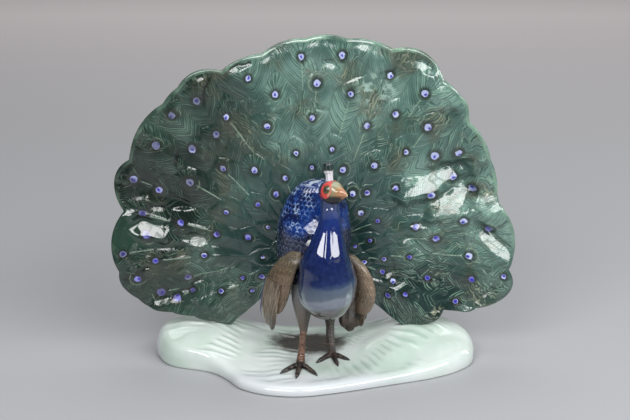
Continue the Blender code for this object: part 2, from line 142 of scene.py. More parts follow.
# The bird, in units: up, across, deep, half width, half depth
BREAST_AND_NECK = (
    (23.6, 7.0, -4.8, 0.3, 0.4), (23.9, 7.0, -4.8, 3.4, 4.2),
    (25.7, 7.0, -4.8, 8.2, 10.8), (30.9, 6.4, -5.4, 12.2, 14.0), (36.7, 6.3, -5.9, 13.6, 15.1),
    (41.5, 6.7, -6.5, 13.7, 15.6), (46.1, 6.4, -6.7, 12.9, 14.5), (51.1, 5.7, -7.2, 11.8, 12.8),
    (56.2, 6.3, -7.3, 9.4, 10.8), (61.0, 6.9, -7.0, 7.6, 8.8), (66.0, 7.5, -6.3, 6.0, 7.0),
    (70.7, 7.8, -5.8, 4.8, 5.6), (75.1, 7.6, -6.0, 4.3, 5.1), (79.0, 7.8, -6.9, 4.4, 5.1),
    (83.1, 8.0, -8.0, 4.2, 4.7), (85.5, 8.1, -8.6, 3.2, 3.4),
)
CAPE = (
    (26.0, 2.0, 9.0, 8.0, 8.0), (31.0, 1.5, 9.0, 13.0, 12.5), (40.0, 0.5, 8.8, 15.9, 14.0),
    (48.0, 0.3, 8.6, 16.8, 13.6), (55.5, 0.4, 8.6, 17.0, 12.8), (63.0, 0.7, 8.6, 16.6, 11.6),
    (70.0, 1.1, 8.6, 15.3, 10.2), (76.0, 1.6, 8.4, 13.0, 8.6), (81.0, 2.1, 8.0, 9.8, 6.8),
    (84.0, 2.6, 7.8, 5.8, 4.4), (85.1, 2.8, 7.8, 2.6, 2.0), (85.4, 2.8, 7.8, 0.3, 0.3),
)
CAPE_SCALES_ROUND = 38
CAPE_SCALE = (5.0, 3.9)  # mm across and up
CAPE_RISE = 0.00042
CAPE_UNEVEN = 0.0005
SEAM_RISE = 0.00032

RUMP = ((1.0, 9.5, 39.0), (13.5, 17.0, 16.0))  # centre, and half its size
HEAD_CENTRE = (8.4, -9.3, 84.6)
HEAD_TURN = -45.0
# The head and beak from the nape to the tip: along, top, bottom, half width
HEAD = (
    (-6.3, 0.2, -0.2, 0.2), (-6.0, 1.7, -1.6, 1.6), (-5.2, 3.2, -3.0, 2.9), (-3.6, 4.6, -4.5, 4.1),
    (-1.4, 5.4, -5.4, 4.9), (0.8, 5.5, -5.6, 5.0), (2.8, 5.0, -5.2, 4.5), (4.4, 4.2, -4.5, 3.6),
    (5.7, 3.5, -3.7, 2.8), (6.6, 3.1, -2.7, 2.2), (7.8, 2.6, -1.5, 1.5), (9.0, 1.9, -0.5, 0.85),
    (9.8, 1.2, 0.2, 0.4), (10.1, 0.85, 0.5, 0.1),
)
EYE = (0.9, 2.2)  # along and up from the head's centre
EYE_ASIDE = 3.95
EYE_RADIUS = 1.05
CREST = (
    (7.6, -8.3, 88.4, 1.9), (7.5, -8.2, 90.8, 1.75), (7.4, -8.1, 93.0, 1.8), (7.1, -8.1, 94.2, 2.2),
    (6.9, -8.1, 96.6, 2.4), (6.9, -8.1, 97.7, 2.1), (6.9, -8.1, 98.3, 1.1), (6.9, -8.1, 98.4, 0.1),
)
# Flattened patches that mirror a place of the studio to the camera: middle across and up in mm, half
# length, half width, taper, heading of the length in degrees, what is mirrored
BREAST_GLEAMS = (
    (8.2, 123.6, 9.2, 2.3, 0.5, 77, LEFT_BOX), (18.6, 123.4, 10.8, 2.5, 0.22, 94, RIGHT_BOX),
    (13.4, 123.4, 11.5, 2.9, 0.1, 86, BETWEEN_BOXES),
    (12.0, 151.9, 1.5, 1.1, 0.0, 60, LEFT_BOX), (16.2, 152.6, 1.6, 1.1, 0.0, 100, RIGHT_BOX),
)
CAPE_GLEAMS = (
    (0.2, 131.2, 7.2, 5.4, 0.0, 40, LEFT_BOX), (-2.8, 118.5, 4.6, 2.4, 0.0, 62, LEFT_BOX),
)
# Limbs: across, deep, up, radius
NEAR_THIGH = (
    (-3.6, 1.0, 36.0, 6.6), (-4.4, -1.6, 29.0, 5.2), (-4.4, -3.6, 21.0, 3.0), (-4.2, -4.3, 15.0, 1.6),
)
FAR_THIGH = (
    (9.2, 4.0, 34.0, 7.0), (8.6, 3.8, 26.0, 5.4), (8.1, 3.4, 19.0, 2.8), (8.1, 3.2, 14.6, 1.8),
)
NEAR_SHANK = (
    (-4.2, -4.2, 17.0, 1.6), (-4.9, -6.0, 9.0, 1.5), (-5.5, -8.0, 3.2, 1.9), (-5.7, -8.6, -0.6, 2.4),
)
FAR_SHANK = (
    (8.1, 3.3, 16.5, 2.0), (8.3, 3.2, 9.0, 1.9), (8.8, 3.2, 3.4, 2.0), (9.1, 3.0, -0.6, 2.4),
)
SPUR = ((8.2, 3.2, 5.6, 1.1), (6.2, 2.8, 6.0, 0.9), (4.6, 2.4, 6.6, 0.15))
FEET = (
    ((-5.7, -8.6), ((-15.0, -18.2), (-7.5, -23.6), (2.2, -20.4), (-7.0, -2.0))),
    ((9.1, 3.0), ((1.6, -6.3), (11.8, -9.8), (17.8, -4.4), (9.6, 9.4))),
)
TOE_RADIUS = 1.3
# A toe: share of its length, up, share of the radius
TOE = ((0.0, 0.6, 1.0), (0.35, 0.9, 0.98), (0.72, 0.6, 0.8), (0.86, 0.5, 0.55), (1.0, 0.0, 0.12))

# Wings: up, across, deep, half chord, half thickness
LEFT_WING = (
    (54.4, -7.3, -3.0, 0.4, 0.3), (54.0, -7.5, -3.0, 2.6, 1.8), (50.5, -10.0, -3.6, 5.6, 2.8),
    (46.0, -12.8, -3.2, 7.0, 3.0), (40.0, -15.2, -2.2, 8.0, 3.0), (33.0, -17.0, -1.0, 8.2, 2.6),
    (27.0, -18.6, 0.2, 7.6, 1.9), (23.6, -19.4, 1.0, 5.6, 1.3), (22.6, -19.7, 1.1, 0.8, 0.3),
)
RIGHT_WING = (
    (51.4, 16.8, 1.0, 0.4, 0.3), (51.0, 17.0, 1.0, 2.4, 1.8), (47.0, 20.0, 0.4, 5.4, 2.8),
    (42.0, 22.0, 0.4, 7.2, 3.2), (36.0, 23.2, 0.8, 8.0, 3.2), (31.0, 23.2, 1.2, 8.2, 2.8),
    (26.0, 22.2, 1.8, 7.6, 2.2), (22.6, 21.2, 2.4, 5.6, 1.5), (21.6, 21.0, 2.4, 0.8, 0.3),
)
COVERTS_ROUND = 20
COVERT_SCALE = (4.8, 6.0)  # mm across and down
COVERT_RISE = 0.00022
# Long wing feathers: place along the chord where one starts and ends, height of its tip, half width
RIGHT_QUILLS = (
    (-0.75, -0.80, 24.0, 2.6), (-0.55, -0.55, 20.5, 2.9), (-0.25, -0.32, 19.2, 2.9),
    (0.02, -0.06, 17.2, 2.8), (0.28, 0.16, 15.0, 2.6), (0.50, 0.40, 18.5, 2.4),
)
LEFT_QUILLS = (
    (-0.72, -0.72, 19.8, 2.0), (-0.50, -0.36, 18.3, 3.0), (-0.12, 0.0, 16.3, 3.4), (0.30, 0.36, 14.4, 2.6),
)
# Each wing: stations, heading of its chord, quills, height where they start, their bow, side of the bird
WINGS = (
    (LEFT_WING, (0.68, -0.73), LEFT_QUILLS, 40.0, -0.5, -1.0),
    (RIGHT_WING, (0.62, -0.78), RIGHT_QUILLS, 33.0, 0.0, 1.0),
)
QUILL_END = (23.5, 6.6)  # height of the wing's row that the tips follow, and their spread
# The width of a long feather along its length: places, then shares of the full width
BLADE_WIDTHS = ((0, 0.25, 0.6, 0.82, 0.93, 0.98, 1.0), (0.8, 0.95, 1.0, 0.92, 0.68, 0.38, 0.04))
# Dark feathers under the right wing: across, deep, height of the tip, half width
UNDER_FEATHERS = ((14.6, 1.6, 15.0, 2.3), (17.2, 2.4, 12.6, 3.0), (20.2, 3.4, 14.4, 2.4))

# Studio
CAMERA_AT = (0.002, -1.2839, 0.5622)
CAMERA_TILT = 72.0
CAMERA_LENS = 91.1
FLOOR_COLOUR = (0.387, 0.394, 0.409)
FAR_FLOOR_COLOUR = (0.89, 0.83, 0.826)
FLOOR_HALF = 14.0
FLOOR_DROP = 0.0003
FLOOR_FAR = (0.10, 1.5)  # where the floor starts to turn into the lighter far colour, which is painted light, and over what depth
FLOOR_FRONT = (-0.16, -0.50)  # where it darkens towards the camera, a painted shade
# Softboxes: azimuth and elevation in degrees, distance, width, height, power
SOFTBOXES = (
    (*LEFT_BOX, 1.9, 1.10, 0.60, 20.5),
    (*RIGHT_BOX, 1.9, 1.85, 0.62, 32.0),
    (0.0, 88.0, 1.7, 1.1, 0.8, 7.5),
    (112.0, 20.0, 1.5, 0.14, 0.80, 3.0),
    (180.0, 62.0, 2.3, 2.6, 1.0, 16.0),
)
STAGE_MIDDLE = np.array((0.0, 0.0, 0.13))
WORLD = ((0.62, 0.64, 0.68), 0.16)


def srgb(red, green, blue):
    """A colour as seen, 0 to 255, turned into the linear one that a shader takes."""
    shares = (red / 255, green / 255, blue / 255)
    return (*(s / 12.92 if s <= 0.04045 else ((s + 0.055) / 1.055) ** 2.4 for s in shares), 1.0)


# Shapes


def spline(p0, p1, p2, p3, t):
    """The smooth curve from p1 to p2, given the points before and after them."""
    bend = (2 * p0 - 5 * p1 + 4 * p2 - p3) * t**2 + (3 * p1 - p0 - 3 * p2 + p3) * t**3
    return 0.5 * (2 * p1 + (p2 - p0) * t + bend)


def smooth_rows(stations, count):
    """Evenly numbered rows on a smooth curve through the stations."""
    rows = np.array(stations, float)
    padded = np.vstack([2 * rows[0] - rows[1], rows, 2 * rows[-1] - rows[-2]])
    place = np.linspace(0, len(rows) - 1, count)
    i = np.minimum(place.astype(int), len(rows) - 2)
    return spline(*(padded[i + k] for k in range(4)), (place - i)[:, None])


def closed_curve(points, count):
    """Evenly numbered points on a smooth closed curve through the given ones."""
    given = np.array(points, float)
    place = np.arange(count) * len(given) / count
    i = place.astype(int)
    return spline(*(given[(i + k - 1) % len(given)] for k in range(4)), (place - i)[:, None])


def wobble(x, y, period, seed):
    """Gentle seeded unevenness, about -1 to 1, from a few crossed waves."""
    draw = np.random.default_rng(seed)
    total = 0.0
    for _ in range(6):
        turn, phase = draw.uniform(0, 2 * math.pi, 2)
        pace = 2 * math.pi / period * draw.uniform(0.6, 1.5)
        total = total + np.sin(pace * (x * math.cos(turn) + y * math.sin(turn)) + phase)
    return total / 3.0


def ramp(value, low, high):
    t = np.clip((value - low) / (high - low), 0, 1)
    return t * t * (3 - 2 * t)


def bell(*offsets_and_widths):
    """A bell that falls away from 1, from pairs of how far off a place is and how wide the bell is."""
    return np.exp(-sum((off / wide) ** 2 for off, wide in offsets_and_widths))


def ring_turns(count):
    return np.linspace(0, 2 * math.pi, count, endpoint=False)


def unit(vectors):
    return vectors / np.maximum(np.linalg.norm(vectors, axis=-1, keepdims=True), 1e-12)


def lengths(points):
    """How far along a line of points each one lies, in mm."""
    return np.concatenate([[0], np.cumsum(np.linalg.norm(np.diff(points, axis=0), axis=1))]) * 1000


def on_bird(points):
    """From units across, deep and up to metres."""
    return np.asarray(points, float) * UNIT + (0, 0, GROUND_THICKNESS)


def scale_inset(u, v, wide, tall):
    """Overlapping rounded scales with the free edge up: how far below its edge a point lies."""
    across, up = u / wide, v / tall
    row = np.floor(up)

    def arch(offset):
        a = np.mod(across + 0.5 * np.mod(row, 2) + offset, 1.0) - 0.5
        return np.sqrt(np.clip(1 - 4 * a * a, 0, 1)) * 0.95

    first = arch(0.0) - (up - row)
    return np.where(first > 0, first, arch(0.5) + 1 - (up - row))


def outward(points):
    """The unit normals of a wrapped grid of points, pointing away from each row's middle."""
    along = np.roll(points, -1, axis=1) - np.roll(points, 1, axis=1)
    normal = unit(np.cross(along, np.gradient(points, axis=0)))
    away = points - points.mean(axis=1, keepdims=True)
    return normal * np.sign((normal * away).sum() + 1e-12)


def raised(points, rise):
    return points + outward(points) * rise[..., None]


def quads_between(i, k, j, m, cols):
    """Faces between the rows i and k and the columns j and m of a grid."""
    return np.stack((i * cols + j, i * cols + m, k * cols + m, k * cols + j), -1).reshape(-1, 4)


def guide_of(*values):
    """A guide for a wrapped grid: three values at each point, and again where the grid closes."""
    guide = np.stack(np.broadcast_arrays(*values), -1)
    return np.concatenate([guide, guide[:, :1]], axis=1)


def turned(u_total, v_rows, cols, third=0.0):
    """A guide for a wrapped grid: distance round, distance along, and a third value."""
    u = np.linspace(0, u_total, cols + 1)[None, :]
    return np.stack(np.broadcast_arrays(u, np.asarray(v_rows)[:, None], third), -1)


class Piece:
    """Closed shells gathered into one mesh, with two painting guides on its face corners."""

    def __init__(self, name, glazes):
        self.name, self.glazes = name, glazes
        self.points, self.faces, self.kinds, self.guides, self.combs = [], [], [], [], []
        self.crease = None
        self.total = 0

    def shell(self, points, quads, caps, kinds, guide, comb, ends=None):
        """One closed shell of quads and end faces, turned to face outwards."""
        a, b, c, d = (points[quads[:, n]] - points.mean(axis=0) for n in range(4))
        if (np.cross(a, b) * c + np.cross(a, c) * d).sum() < 0:
            quads, guide, comb = quads[:, ::-1], guide[:, ::-1], comb[:, ::-1]
            caps = [cap[::-1] for cap in caps]
        self.points.append(points)
        self.faces += (quads + self.total).tolist() + [(cap + self.total).tolist() for cap in caps]
        self.kinds += list(kinds) + [kinds[0]] * len(caps)
        ends = ends or (guide[0, 0], comb[0, 0])
        for kept, values, end in zip((self.guides, self.combs), (guide, comb), ends):
            kept += [values.reshape(-1, 3)] + [np.tile(end, (len(cap), 1)) for cap in caps]
        self.total += len(points)

    def grid(self, points, glaze, guide=None, comb=None):
        """One shell from rows of points; the two end rows are closed with a face each."""
        rows, cols = points.shape[:2]
        i, j = np.arange(rows - 1)[:, None], np.arange(cols)[None, :]
        quads = quads_between(i, i + 1, j, (j + 1) % cols, cols)

        def corners(values):
            if values is None:
                return np.zeros((len(quads), 4, 3))
            four = (values[i, j], values[i, j + 1], values[i + 1, j + 1], values[i + 1, j])
            return np.stack(four, 2).reshape(-1, 4, 3)

        caps = [np.arange(cols)[::-1], np.arange((rows - 1) * cols, rows * cols)]
        kinds = [self.glazes.index(glaze)] * len(quads)
        self.shell(points.reshape(-1, 3), quads, caps, kinds, corners(guide), corners(comb))

    def made(self, paints):
        mesh = bpy.data.meshes.new(self.name)
        mesh.from_pydata(np.concatenate(self.points).tolist(), [], self.faces)
        for glaze in self.glazes:
            mesh.materials.append(paints[glaze])
        mesh.polygons.foreach_set("material_index", self.kinds)
        for name, values in (("guide", self.guides), ("comb", self.combs)):
            layer = mesh.attributes.new(name, "FLOAT_VECTOR", "CORNER")
            layer.data.foreach_set("vector", np.concatenate(values).astype(np.float32).ravel())
        if self.crease is not None:
            layer = mesh.attributes.new("crease", "FLOAT", "POINT")
            layer.data.foreach_set("value", self.crease.astype(np.float32))
        mesh.shade_smooth()
        mesh.update()
        obj = placed(self.name, mesh)
        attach(obj, "root")
        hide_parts(NODE)


def ovals(stations, count, cols):
    """Level oval rings through stations of up, across, deep, half width, half depth."""
    rows = smooth_rows(stations, count)
    turn = ring_turns(cols)
    half = np.maximum(rows[:, 3:5], 0.05)
    x, y = rows[:, 1:2] + half[:, :1] * np.cos(turn), rows[:, 2:3] + half[:, 1:] * np.sin(turn)
    return on_bird(np.stack(np.broadcast_arrays(x, y, rows[:, 0:1]), -1)), rows


def tube(piece, stations, glaze, grid, bulge=np.ones_like, third=0.0):
    """A round limb through stations of across, deep, up and radius."""
    count, cols = grid
    rows = smooth_rows(stations, count)
    centre = on_bird(rows[:, :3])
    radius = np.maximum(rows[:, 3], 0.08) * UNIT * bulge(np.linspace(0, 1, count))
    tangent = unit(np.gradient(centre, axis=0))
    side = unit(np.cross(tangent, np.array((0.31, 0.93, 0.19))))
    turn = ring_turns(cols)[None, :, None]
    ring = np.cos(turn) * side[:, None] + np.sin(turn) * np.cross(tangent, side)[:, None]
    points = centre[:, None] + radius[:, None, None] * ring
    piece.grid(points, glaze, turned(1.0, lengths(centre), cols, third))


def ball(count, cols, pole):
    """The points of a unit ball, and how far round from its top each row lies."""
    tilt = np.linspace(pole, math.pi - pole, count)
    up, turn = tilt[:, None], ring_turns(cols)[None, :]
    points = (np.sin(up) * np.cos(turn), np.sin(up) * np.sin(turn), np.cos(up))
    return np.stack(np.broadcast_arrays(*points), -1), tilt


# The studio's places


def in_studio(azimuth, elevation, distance=1.9):
    """A place round the middle of the stage, from an azimuth and an elevation in degrees."""
    a, e = math.radians(azimuth), math.radians(elevation)
    heading = (math.sin(a) * math.cos(e), -math.cos(a) * math.cos(e), math.sin(e))
    return STAGE_MIDDLE + distance * np.array(heading)


def mirror_normal(point, mirrored):
    """The way a surface has to face at a point to mirror a place of the studio to the camera."""
    return unit(unit(np.array(CAMERA_AT) - point) + unit(in_studio(*mirrored) - point))


def patch_places(x, z, heading):
    """Places turned into along and across a patch of the given heading in degrees."""
    turn = math.radians(heading)
    return x * math.cos(turn) + z * math.sin(turn), -x * math.sin(turn) + z * math.cos(turn)


def flattened(points, gleams):
    """Moves the points of a closed grid on to flat patches; also says how much each patch takes."""
    normal = outward(points)
    ahead = points[..., 1] < points[..., 1].mean(axis=1, keepdims=True)
    x, z = points[..., 0] * 1000, points[..., 2] * 1000
    moved, taken = np.zeros(x.shape), np.zeros(x.shape)
    for across, up, long, wide, taper, heading, mirrored in gleams:
        nearest = ((x - across) ** 2 + (z - up) ** 2 + np.where(ahead, 0, 1e6)).argmin()
        middle = points.reshape(-1, 3)[nearest]
        wanted = mirror_normal(middle, mirrored)
        s, t = patch_places(x - across, z - up, heading)
        s = s / long
        t = t / (wide * (1 - taper * np.clip(s, -1, 1)))
        fall = (1 - ramp((s**4 + t**4) ** 0.25, 0.9, 1.35)) * ahead
        moved += fall * ((middle - points) @ wanted) / np.maximum(normal @ wanted, 0.3)
        taken += fall
    return points + normal * (moved / np.maximum(taken, 1))[..., None], np.minimum(taken, 1)


# The train


def rim_reach(angle):
    reach = FAN_REACH * RIM_LOBES[:, 1] / 100
    beside = np.radians(np.asarray(angle)[..., None] - RIM_LOBES[:, 0]) * reach
    return (reach - RIM_LOBES[:, 2] * beside**2).max(axis=-1)


def around_hub(angle, reach):
    """Across and up from the hub, from a direction in degrees and a distance."""
    return reach * np.cos(np.radians(angle)), reach * np.sin(np.radians(angle))


def fan_depth(angle, share, reach):
    turn = np.radians(angle)
    lean = FAN_LEAN * np.abs(share * reach * np.sin(turn))
    dish = FAN_DISH * share * share * (0.35 + 0.65 * np.abs(np.cos(turn)))
    wave = np.sin(5.0 * turn + 0.6) + 0.55 * np.sin(11.0 * turn + 2.1) + 0.35 * np.sin(19.0 * turn)
    return FAN_HUB[1] + lean - dish + FAN_WAVE * wave * share * share


def fan_points(angle, share, offset):
    reach = rim_reach(angle)
    across, up = around_hub(angle, share * reach)
    return np.stack((FAN_HUB[0] + across, fan_depth(angle, share, reach) + offset, FAN_HUB[2] + up), -1)


def half_thickness(share):
    return (FAN_HUB_THICKNESS + (FAN_RIM_THICKNESS - FAN_HUB_THICKNESS) * share) / 2


def feather_frames():
    """Each feather's eye in the plane of the fan, in mm, its outward direction, size and lot."""
    draw = np.random.default_rng(7)
    angle, reach = FEATHERS[:, 0], FEATHERS[:, 1]
    eye = np.stack(around_hub(angle, reach), -1)
    out = np.stack(around_hub(angle + draw.uniform(-7, 7, len(angle)), 1.0), -1)
    size = np.clip(0.62 + 0.38 * (reach - 30) / 90, 0.62, 1.0) * draw.uniform(0.9, 1.12, len(angle))
    return eye, out, size, draw.uniform(0, 1, len(angle))


def local(x, z, which, frames):
    """Across and along the feather of a place, from its eye."""
    eye, out = frames[0][which], frames[1][which]
    dx, dz = x - eye[..., 0], z - eye[..., 1]
    return -dx * out[..., 1] + dz * out[..., 0], dx * out[..., 0] + dz * out[..., 1]


def feather_at(x, z, frames):
    """The feather seen at a place of the fan, and how clear of the next one that place is."""
    best, second = np.full(x.shape, 1e9), np.full(x.shape, 1e9)
    which = np.zeros(x.shape, int)
    for n, size in enumerate(frames[2]):
        t, s = local(x, z, n, frames)
        cost = np.sqrt(t * t + np.where(s < 0, 0.42 * s, 1.1 * s) ** 2) / (0.75 + 0.25 * size)
        closer = cost < best
        second = np.where(closer, best, np.minimum(second, cost))
        which = np.where(closer, n, which)
        best = np.where(closer, cost, best)
    return which, second - best


def comb_phase(t, s):
    """Distance across the barbs: they leave the shaft outwards and fan round past the eye."""
    side = np.abs(t)
    open_angle = math.radians(OPEN_ANGLE)
    psi = np.arctan2(side, s + 1e-6)
    behind = (s - side / math.tan(open_angle) - 0.022 * side**2) * math.sin(open_angle)
    return np.where(psi > open_angle, behind, (open_angle - psi) * 13.0)


def plain_depth(x, z):
    """The depth of the train before any relief, at x and z in mm from the hub."""
    angle = np.degrees(np.arctan2(z, x))
    angle = np.where(angle < -90, angle + 360, angle)
    full = rim_reach(angle)
    return fan_depth(angle, np.hypot(x, z) / 1000 / full, full)


def gleam_turns(x, z):
    """How far the turned patches move the train back, and how much of each place they take."""
    total, taken = 0.0, 0.0
    base, uneven = plain_depth(x, z), 0.10 * wobble(x, z, 16, 41)
    for angle, reach, long, wide, heading, mirrored, part in GLEAMS:
        cx, cz = around_hub(angle, reach)
        middle = float(plain_depth(cx, cz))
        point = np.array((FAN_HUB[0] + cx / 1000, middle, FAN_HUB[2] + cz / 1000))
        across, deep, up = mirror_normal(point, mirrored)
        s, t = patch_places(x - cx, z - cz, heading)
        fall = 1 - ramp(np.sqrt((s / long) ** 2 + (t / wide) ** 2) + uneven, 0.62, 1.45)
        slope = (across * (x - cx) + up * (z - cz)) / -deep
        total = total + part * (middle + slope / 1000 - base) * fall
        taken = np.maximum(taken, fall * part)
    return total, taken


def creased(x, z):
    """How deep in a dark crease a place of the train lies, 0 to 1."""
    most = np.zeros(np.shape(x))
    for first_angle, first_reach, last_angle, last_reach, wide in CREASES:
        start = np.array(around_hub(first_angle, first_reach))
        run = np.array(around_hub(last_angle, last_reach)) - start
        along = np.clip(((x - start[0]) * run[0] + (z - start[1]) * run[1]) / (run @ run), 0, 1)
        away = np.hypot(x - start[0] - run[0] * along, z - start[1] - run[1] * along)
        breadth = wide * (0.45 + 0.9 * np.sin(math.pi * np.clip(along, 0.02, 0.98)))
        most = np.maximum(most, bell((away, breadth)))
    return most


def front_relief(share, x, z, frames):
    """How far the front rises, how clear of the next feather each place is, and the creases."""
    which, gap = feather_at(x, z, frames)
    t, s = local(x, z, which, frames)
    puff = VANE_PUFF * (1 - np.exp(-np.maximum(gap, 0) / 5.0))
    shaft = QUILL_RISE * bell((t, 1.3)) * ramp(-s, 3, 7) * (1 - ramp(-s, 45, 75))
    rise = puff + TIP_LIFT * ramp(s, -14, 7) + shaft - EYE_DIP * bell((t, 5), (s, 5))
    rise = rise + TRAIN_UNEVEN * wobble(x, z, 34, 3)
    rise = rise * ramp(share, 0.08, 0.2) * (1 - ramp(share, 0.94, 0.985))
    turned_back, taken = gleam_turns(x, z)
    crease = creased(x + 1.2 * wobble(x, z, 12, 31), z + 1.2 * wobble(x, z, 12, 32))
    return rise * (1 - 0.85 * taken) - turned_back - CREASE_DEPTH * crease, gap, crease


def back_relief(angle, share):
    """The short prop feathers round the hub, and the ribs beyond them."""
    reach, first, last, count = PROP_ROW
    place = (angle - first) / ((last - first) / (count - 1))
    off = place - np.round(place)
    edge = reach + PROP_TIP * (1 - 1.9 * off**2)
    step = 1 - ramp(share, edge - 0.02, edge + 0.012)
    props = BACK_RISE * step * (0.8 + 0.2 * np.cos(off * 2 * math.pi))
    ribs = BACK_RIBS * (0.5 + 0.5 * np.cos(np.radians(angle) * 56)) * (1 - step) * (1 - share)
    return (props + ribs) * (1 - ramp(share, 0.9, 0.98))


def train(paints):
    angle = np.linspace(*FAN_ANGLES, TRAIN_COLUMNS)
    reach = rim_reach(angle)
    inner = FAN_INNER_REACH / reach
    frames = feather_frames()

    def turned_back(share):
        return gleam_turns(*around_hub(angle, share * reach * 1000))[0]

    front = inner + (FRONT_SHARE - inner) * np.linspace(0, 1, FRONT_ROWS)[:, None]
    x, z = around_hub(angle, front * reach * 1000)
    rise, gap, crease = front_relief(front, x, z, frames)
    top = fan_points(angle, front, -half_thickness(front) - rise)
    edge, edge_side = (np.repeat(np.array(values)[:, None], TRAIN_COLUMNS, axis=1) for values in TRAIN_EDGE)
    rim = fan_points(angle, edge, edge_side * half_thickness(edge) + turned_back(edge))
    back = BACK_SHARE + (inner - BACK_SHARE) * np.linspace(0, 1, BACK_ROWS)[:, None]
    bottom = fan_points(angle, back, half_thickness(back) + back_relief(angle, back) + turned_back(back))

    points = np.concatenate([top, rim, bottom])
    share = np.concatenate([front, edge, back])
    rows, cols = share.shape
    fore, aft = slice(0, FRONT_ROWS - 1), slice(FRONT_ROWS + len(rim), rows - 1)
    # Guides: face by face on the front, so that a feather's own place isn't mixed with the next one's
    guide, comb = np.zeros((2, rows, cols - 1, 4, 3))
    guide[fore.stop : aft.start], comb[fore.stop : aft.start] = EDGE_GUIDES
    middles = (0.25 * (v[:-1, :-1] + v[1:, :-1] + v[:-1, 1:] + v[1:, 1:]) for v in (x, z))
    chosen, _ = feather_at(*middles, frames)
    # A pale shaft is told to the painter by a size that is 2 more than it is
    guide[fore, ..., 2] = (frames[2][chosen] + 2 * (frames[3][chosen] < BOLD_SHARE))[..., None]
    for n, (di, dj) in enumerate(((0, 0), (0, 1), (1, 1), (1, 0))):
        here, there = (np.s_[part.start + di : part.stop + di, dj : cols - 1 + dj] for part in (fore, aft))
        t, s = local(x[here], z[here], chosen, frames)
        guide[fore, :, n, :2] = np.stack((t, s), -1)
        comb[fore, :, n] = np.stack((comb_phase(t, s), np.maximum(gap[here], 0), front[here]), -1)
        guide[aft, :, n, 0] = angle[dj : cols - 1 + dj]
        guide[aft, :, n, 1] = (share * reach)[there] * 1000
        comb[aft, :, n, 2] = share[there]

    # The loop closes over the hub, from the last row of the back to the first of the front
    i, j = np.arange(rows)[:, None], np.arange(cols - 1)[None, :]
    quads = quads_between(i, (i + 1) % rows, j, j + 1, cols)
    side = np.arange(rows) * cols
    kinds = np.repeat(np.where(np.arange(rows) < aft.start - 1, 0, 1), cols - 1).tolist()
    piece = Piece("peacock_train", ["train_front", "train_back"])
    piece.crease = np.concatenate([crease, np.zeros((rows - FRONT_ROWS, cols))]).ravel()
    guides = guide.reshape(-1, 4, 3), comb.reshape(-1, 4, 3)
    piece.shell(points.reshape(-1, 3), quads, [side, side[::-1] + cols - 1], kinds, *guides, EDGE_GUIDES)
    piece.made(paints)


# The ground


def ground_height(x, y):
    height = np.full(np.shape(x), GROUND_THICKNESS)
    for middle in (-0.36 * GROUND_WIDTH, 0.34 * GROUND_WIDTH):
        along = (x - middle) / MOUND_SPREAD[0]
        deep = (y - FAN_HUB[1]) / MOUND_SPREAD[1]
        height = height + MOUND_HEIGHT * np.exp(-0.5 * (along**2 + deep**2) ** 1.2)
    return height


def blades(x, y):
    """Modelled grass: long shallow strokes that run out from under the bird. Returns 0 to 1."""
    warp = 0.006 * wobble(x, y, 0.09, 11)
    right = np.arctan2(y - 0.085 + warp, np.maximum(x + 0.01, 0.004)) * 100 / 6.5
    left = (y + 0.22 * (x + 0.1) - 1.6 * (x + 0.1) ** 2 + warp) * 1000 / 9.0
    side = ramp(x, -0.03, 0.02)
    left, right = (0.5 + 0.5 * np.sin(2 * math.pi * place) for place in (left, right))
    return (left * (1 - side) + right * side) ** 1.6 * ramp(wobble(x, y, 0.045, 5), -0.5, 0.6)


def ground(paints):
    outline = closed_curve(GROUND_OUTLINE, GROUND_COLUMNS) * (GROUND_WIDTH / 200, GROUND_DEPTH / 200)
    middle = outline.mean(axis=0)
    length = np.linalg.norm(middle - outline, axis=1, keepdims=True)

    def inset(share):
        return outline + (middle - outline) * np.minimum(1.0, share * GROUND_EDGE_ROUND / length)

    def ring(places, lift=1.0):
        return np.concatenate([places, (lift * ground_height(*places.T))[:, None]], axis=1)

    edge = smooth_rows(GROUND_EDGE, GROUND_ROWS[0])
    rings = [ring(inset(share), np.clip(lift, 0, 1)) for share, lift in edge]
    shares = np.linspace(1, 0.02, GROUND_ROWS[1])[1:]
    rings += [ring(middle + (inset(1.0) - middle) * share) for share in shares]
    points = np.array(rings)
    x, y = points[..., 0], points[..., 1]
    away = np.minimum.reduce([np.hypot(x - across * UNIT, y - deep * UNIT) for (across, deep), _ in FEET])
    inside = ramp(np.arange(len(points)), 10, 24)[:, None] * ramp(away, 0.012, 0.03)
    stroke = blades(x, y)
    points[..., 2] += inside * (STROKE_RISE * (stroke - 0.4) + GROUND_UNEVEN * wobble(x, y, 0.03, 9))
    points[..., 2] = np.maximum(points[..., 2], 0)
    piece = Piece("peacock_ground", ["ground"])
    piece.grid(points, "ground", guide_of(stroke * inside, x * 1000, y * 1000))
    piece.made(paints)


# The bird


def blade(piece, first, tip, along, through, half_width, glaze, bow, thick, third):
    """One long feather: a thin blade with a round tip, a raised shaft and a slight bow."""
    t, turn = np.linspace(0, 1, BLADE_GRID[0])[:, None], ring_turns(BLADE_GRID[1])
    share = np.interp(t, *BLADE_WIDTHS)
    across = np.cos(turn) * half_width * share
    depth = np.sin(turn) * thick * (0.35 + 0.65 * share)
    shaft = 0.16 * bell((across, 0.4)) * (1 - t)
    depth = depth * np.sqrt(np.clip(1 - 0.6 * np.abs(np.cos(turn)), 0.2, 1)) + np.sign(depth) * shaft
    centre = first + (tip - first) * t + through * bow * np.sin(math.pi * t)
    points = centre[:, None] + along * across[..., None] + through * (depth - 0.06 * across**2)[..., None]
    length = np.linalg.norm(tip - first) * UNIT_MM
    guide = guide_of(across * UNIT_MM, t * length, third)
    comb = np.broadcast_to((half_width * UNIT_MM, length, third), guide.shape)
    piece.grid(on_bird(points), glaze, guide, comb)


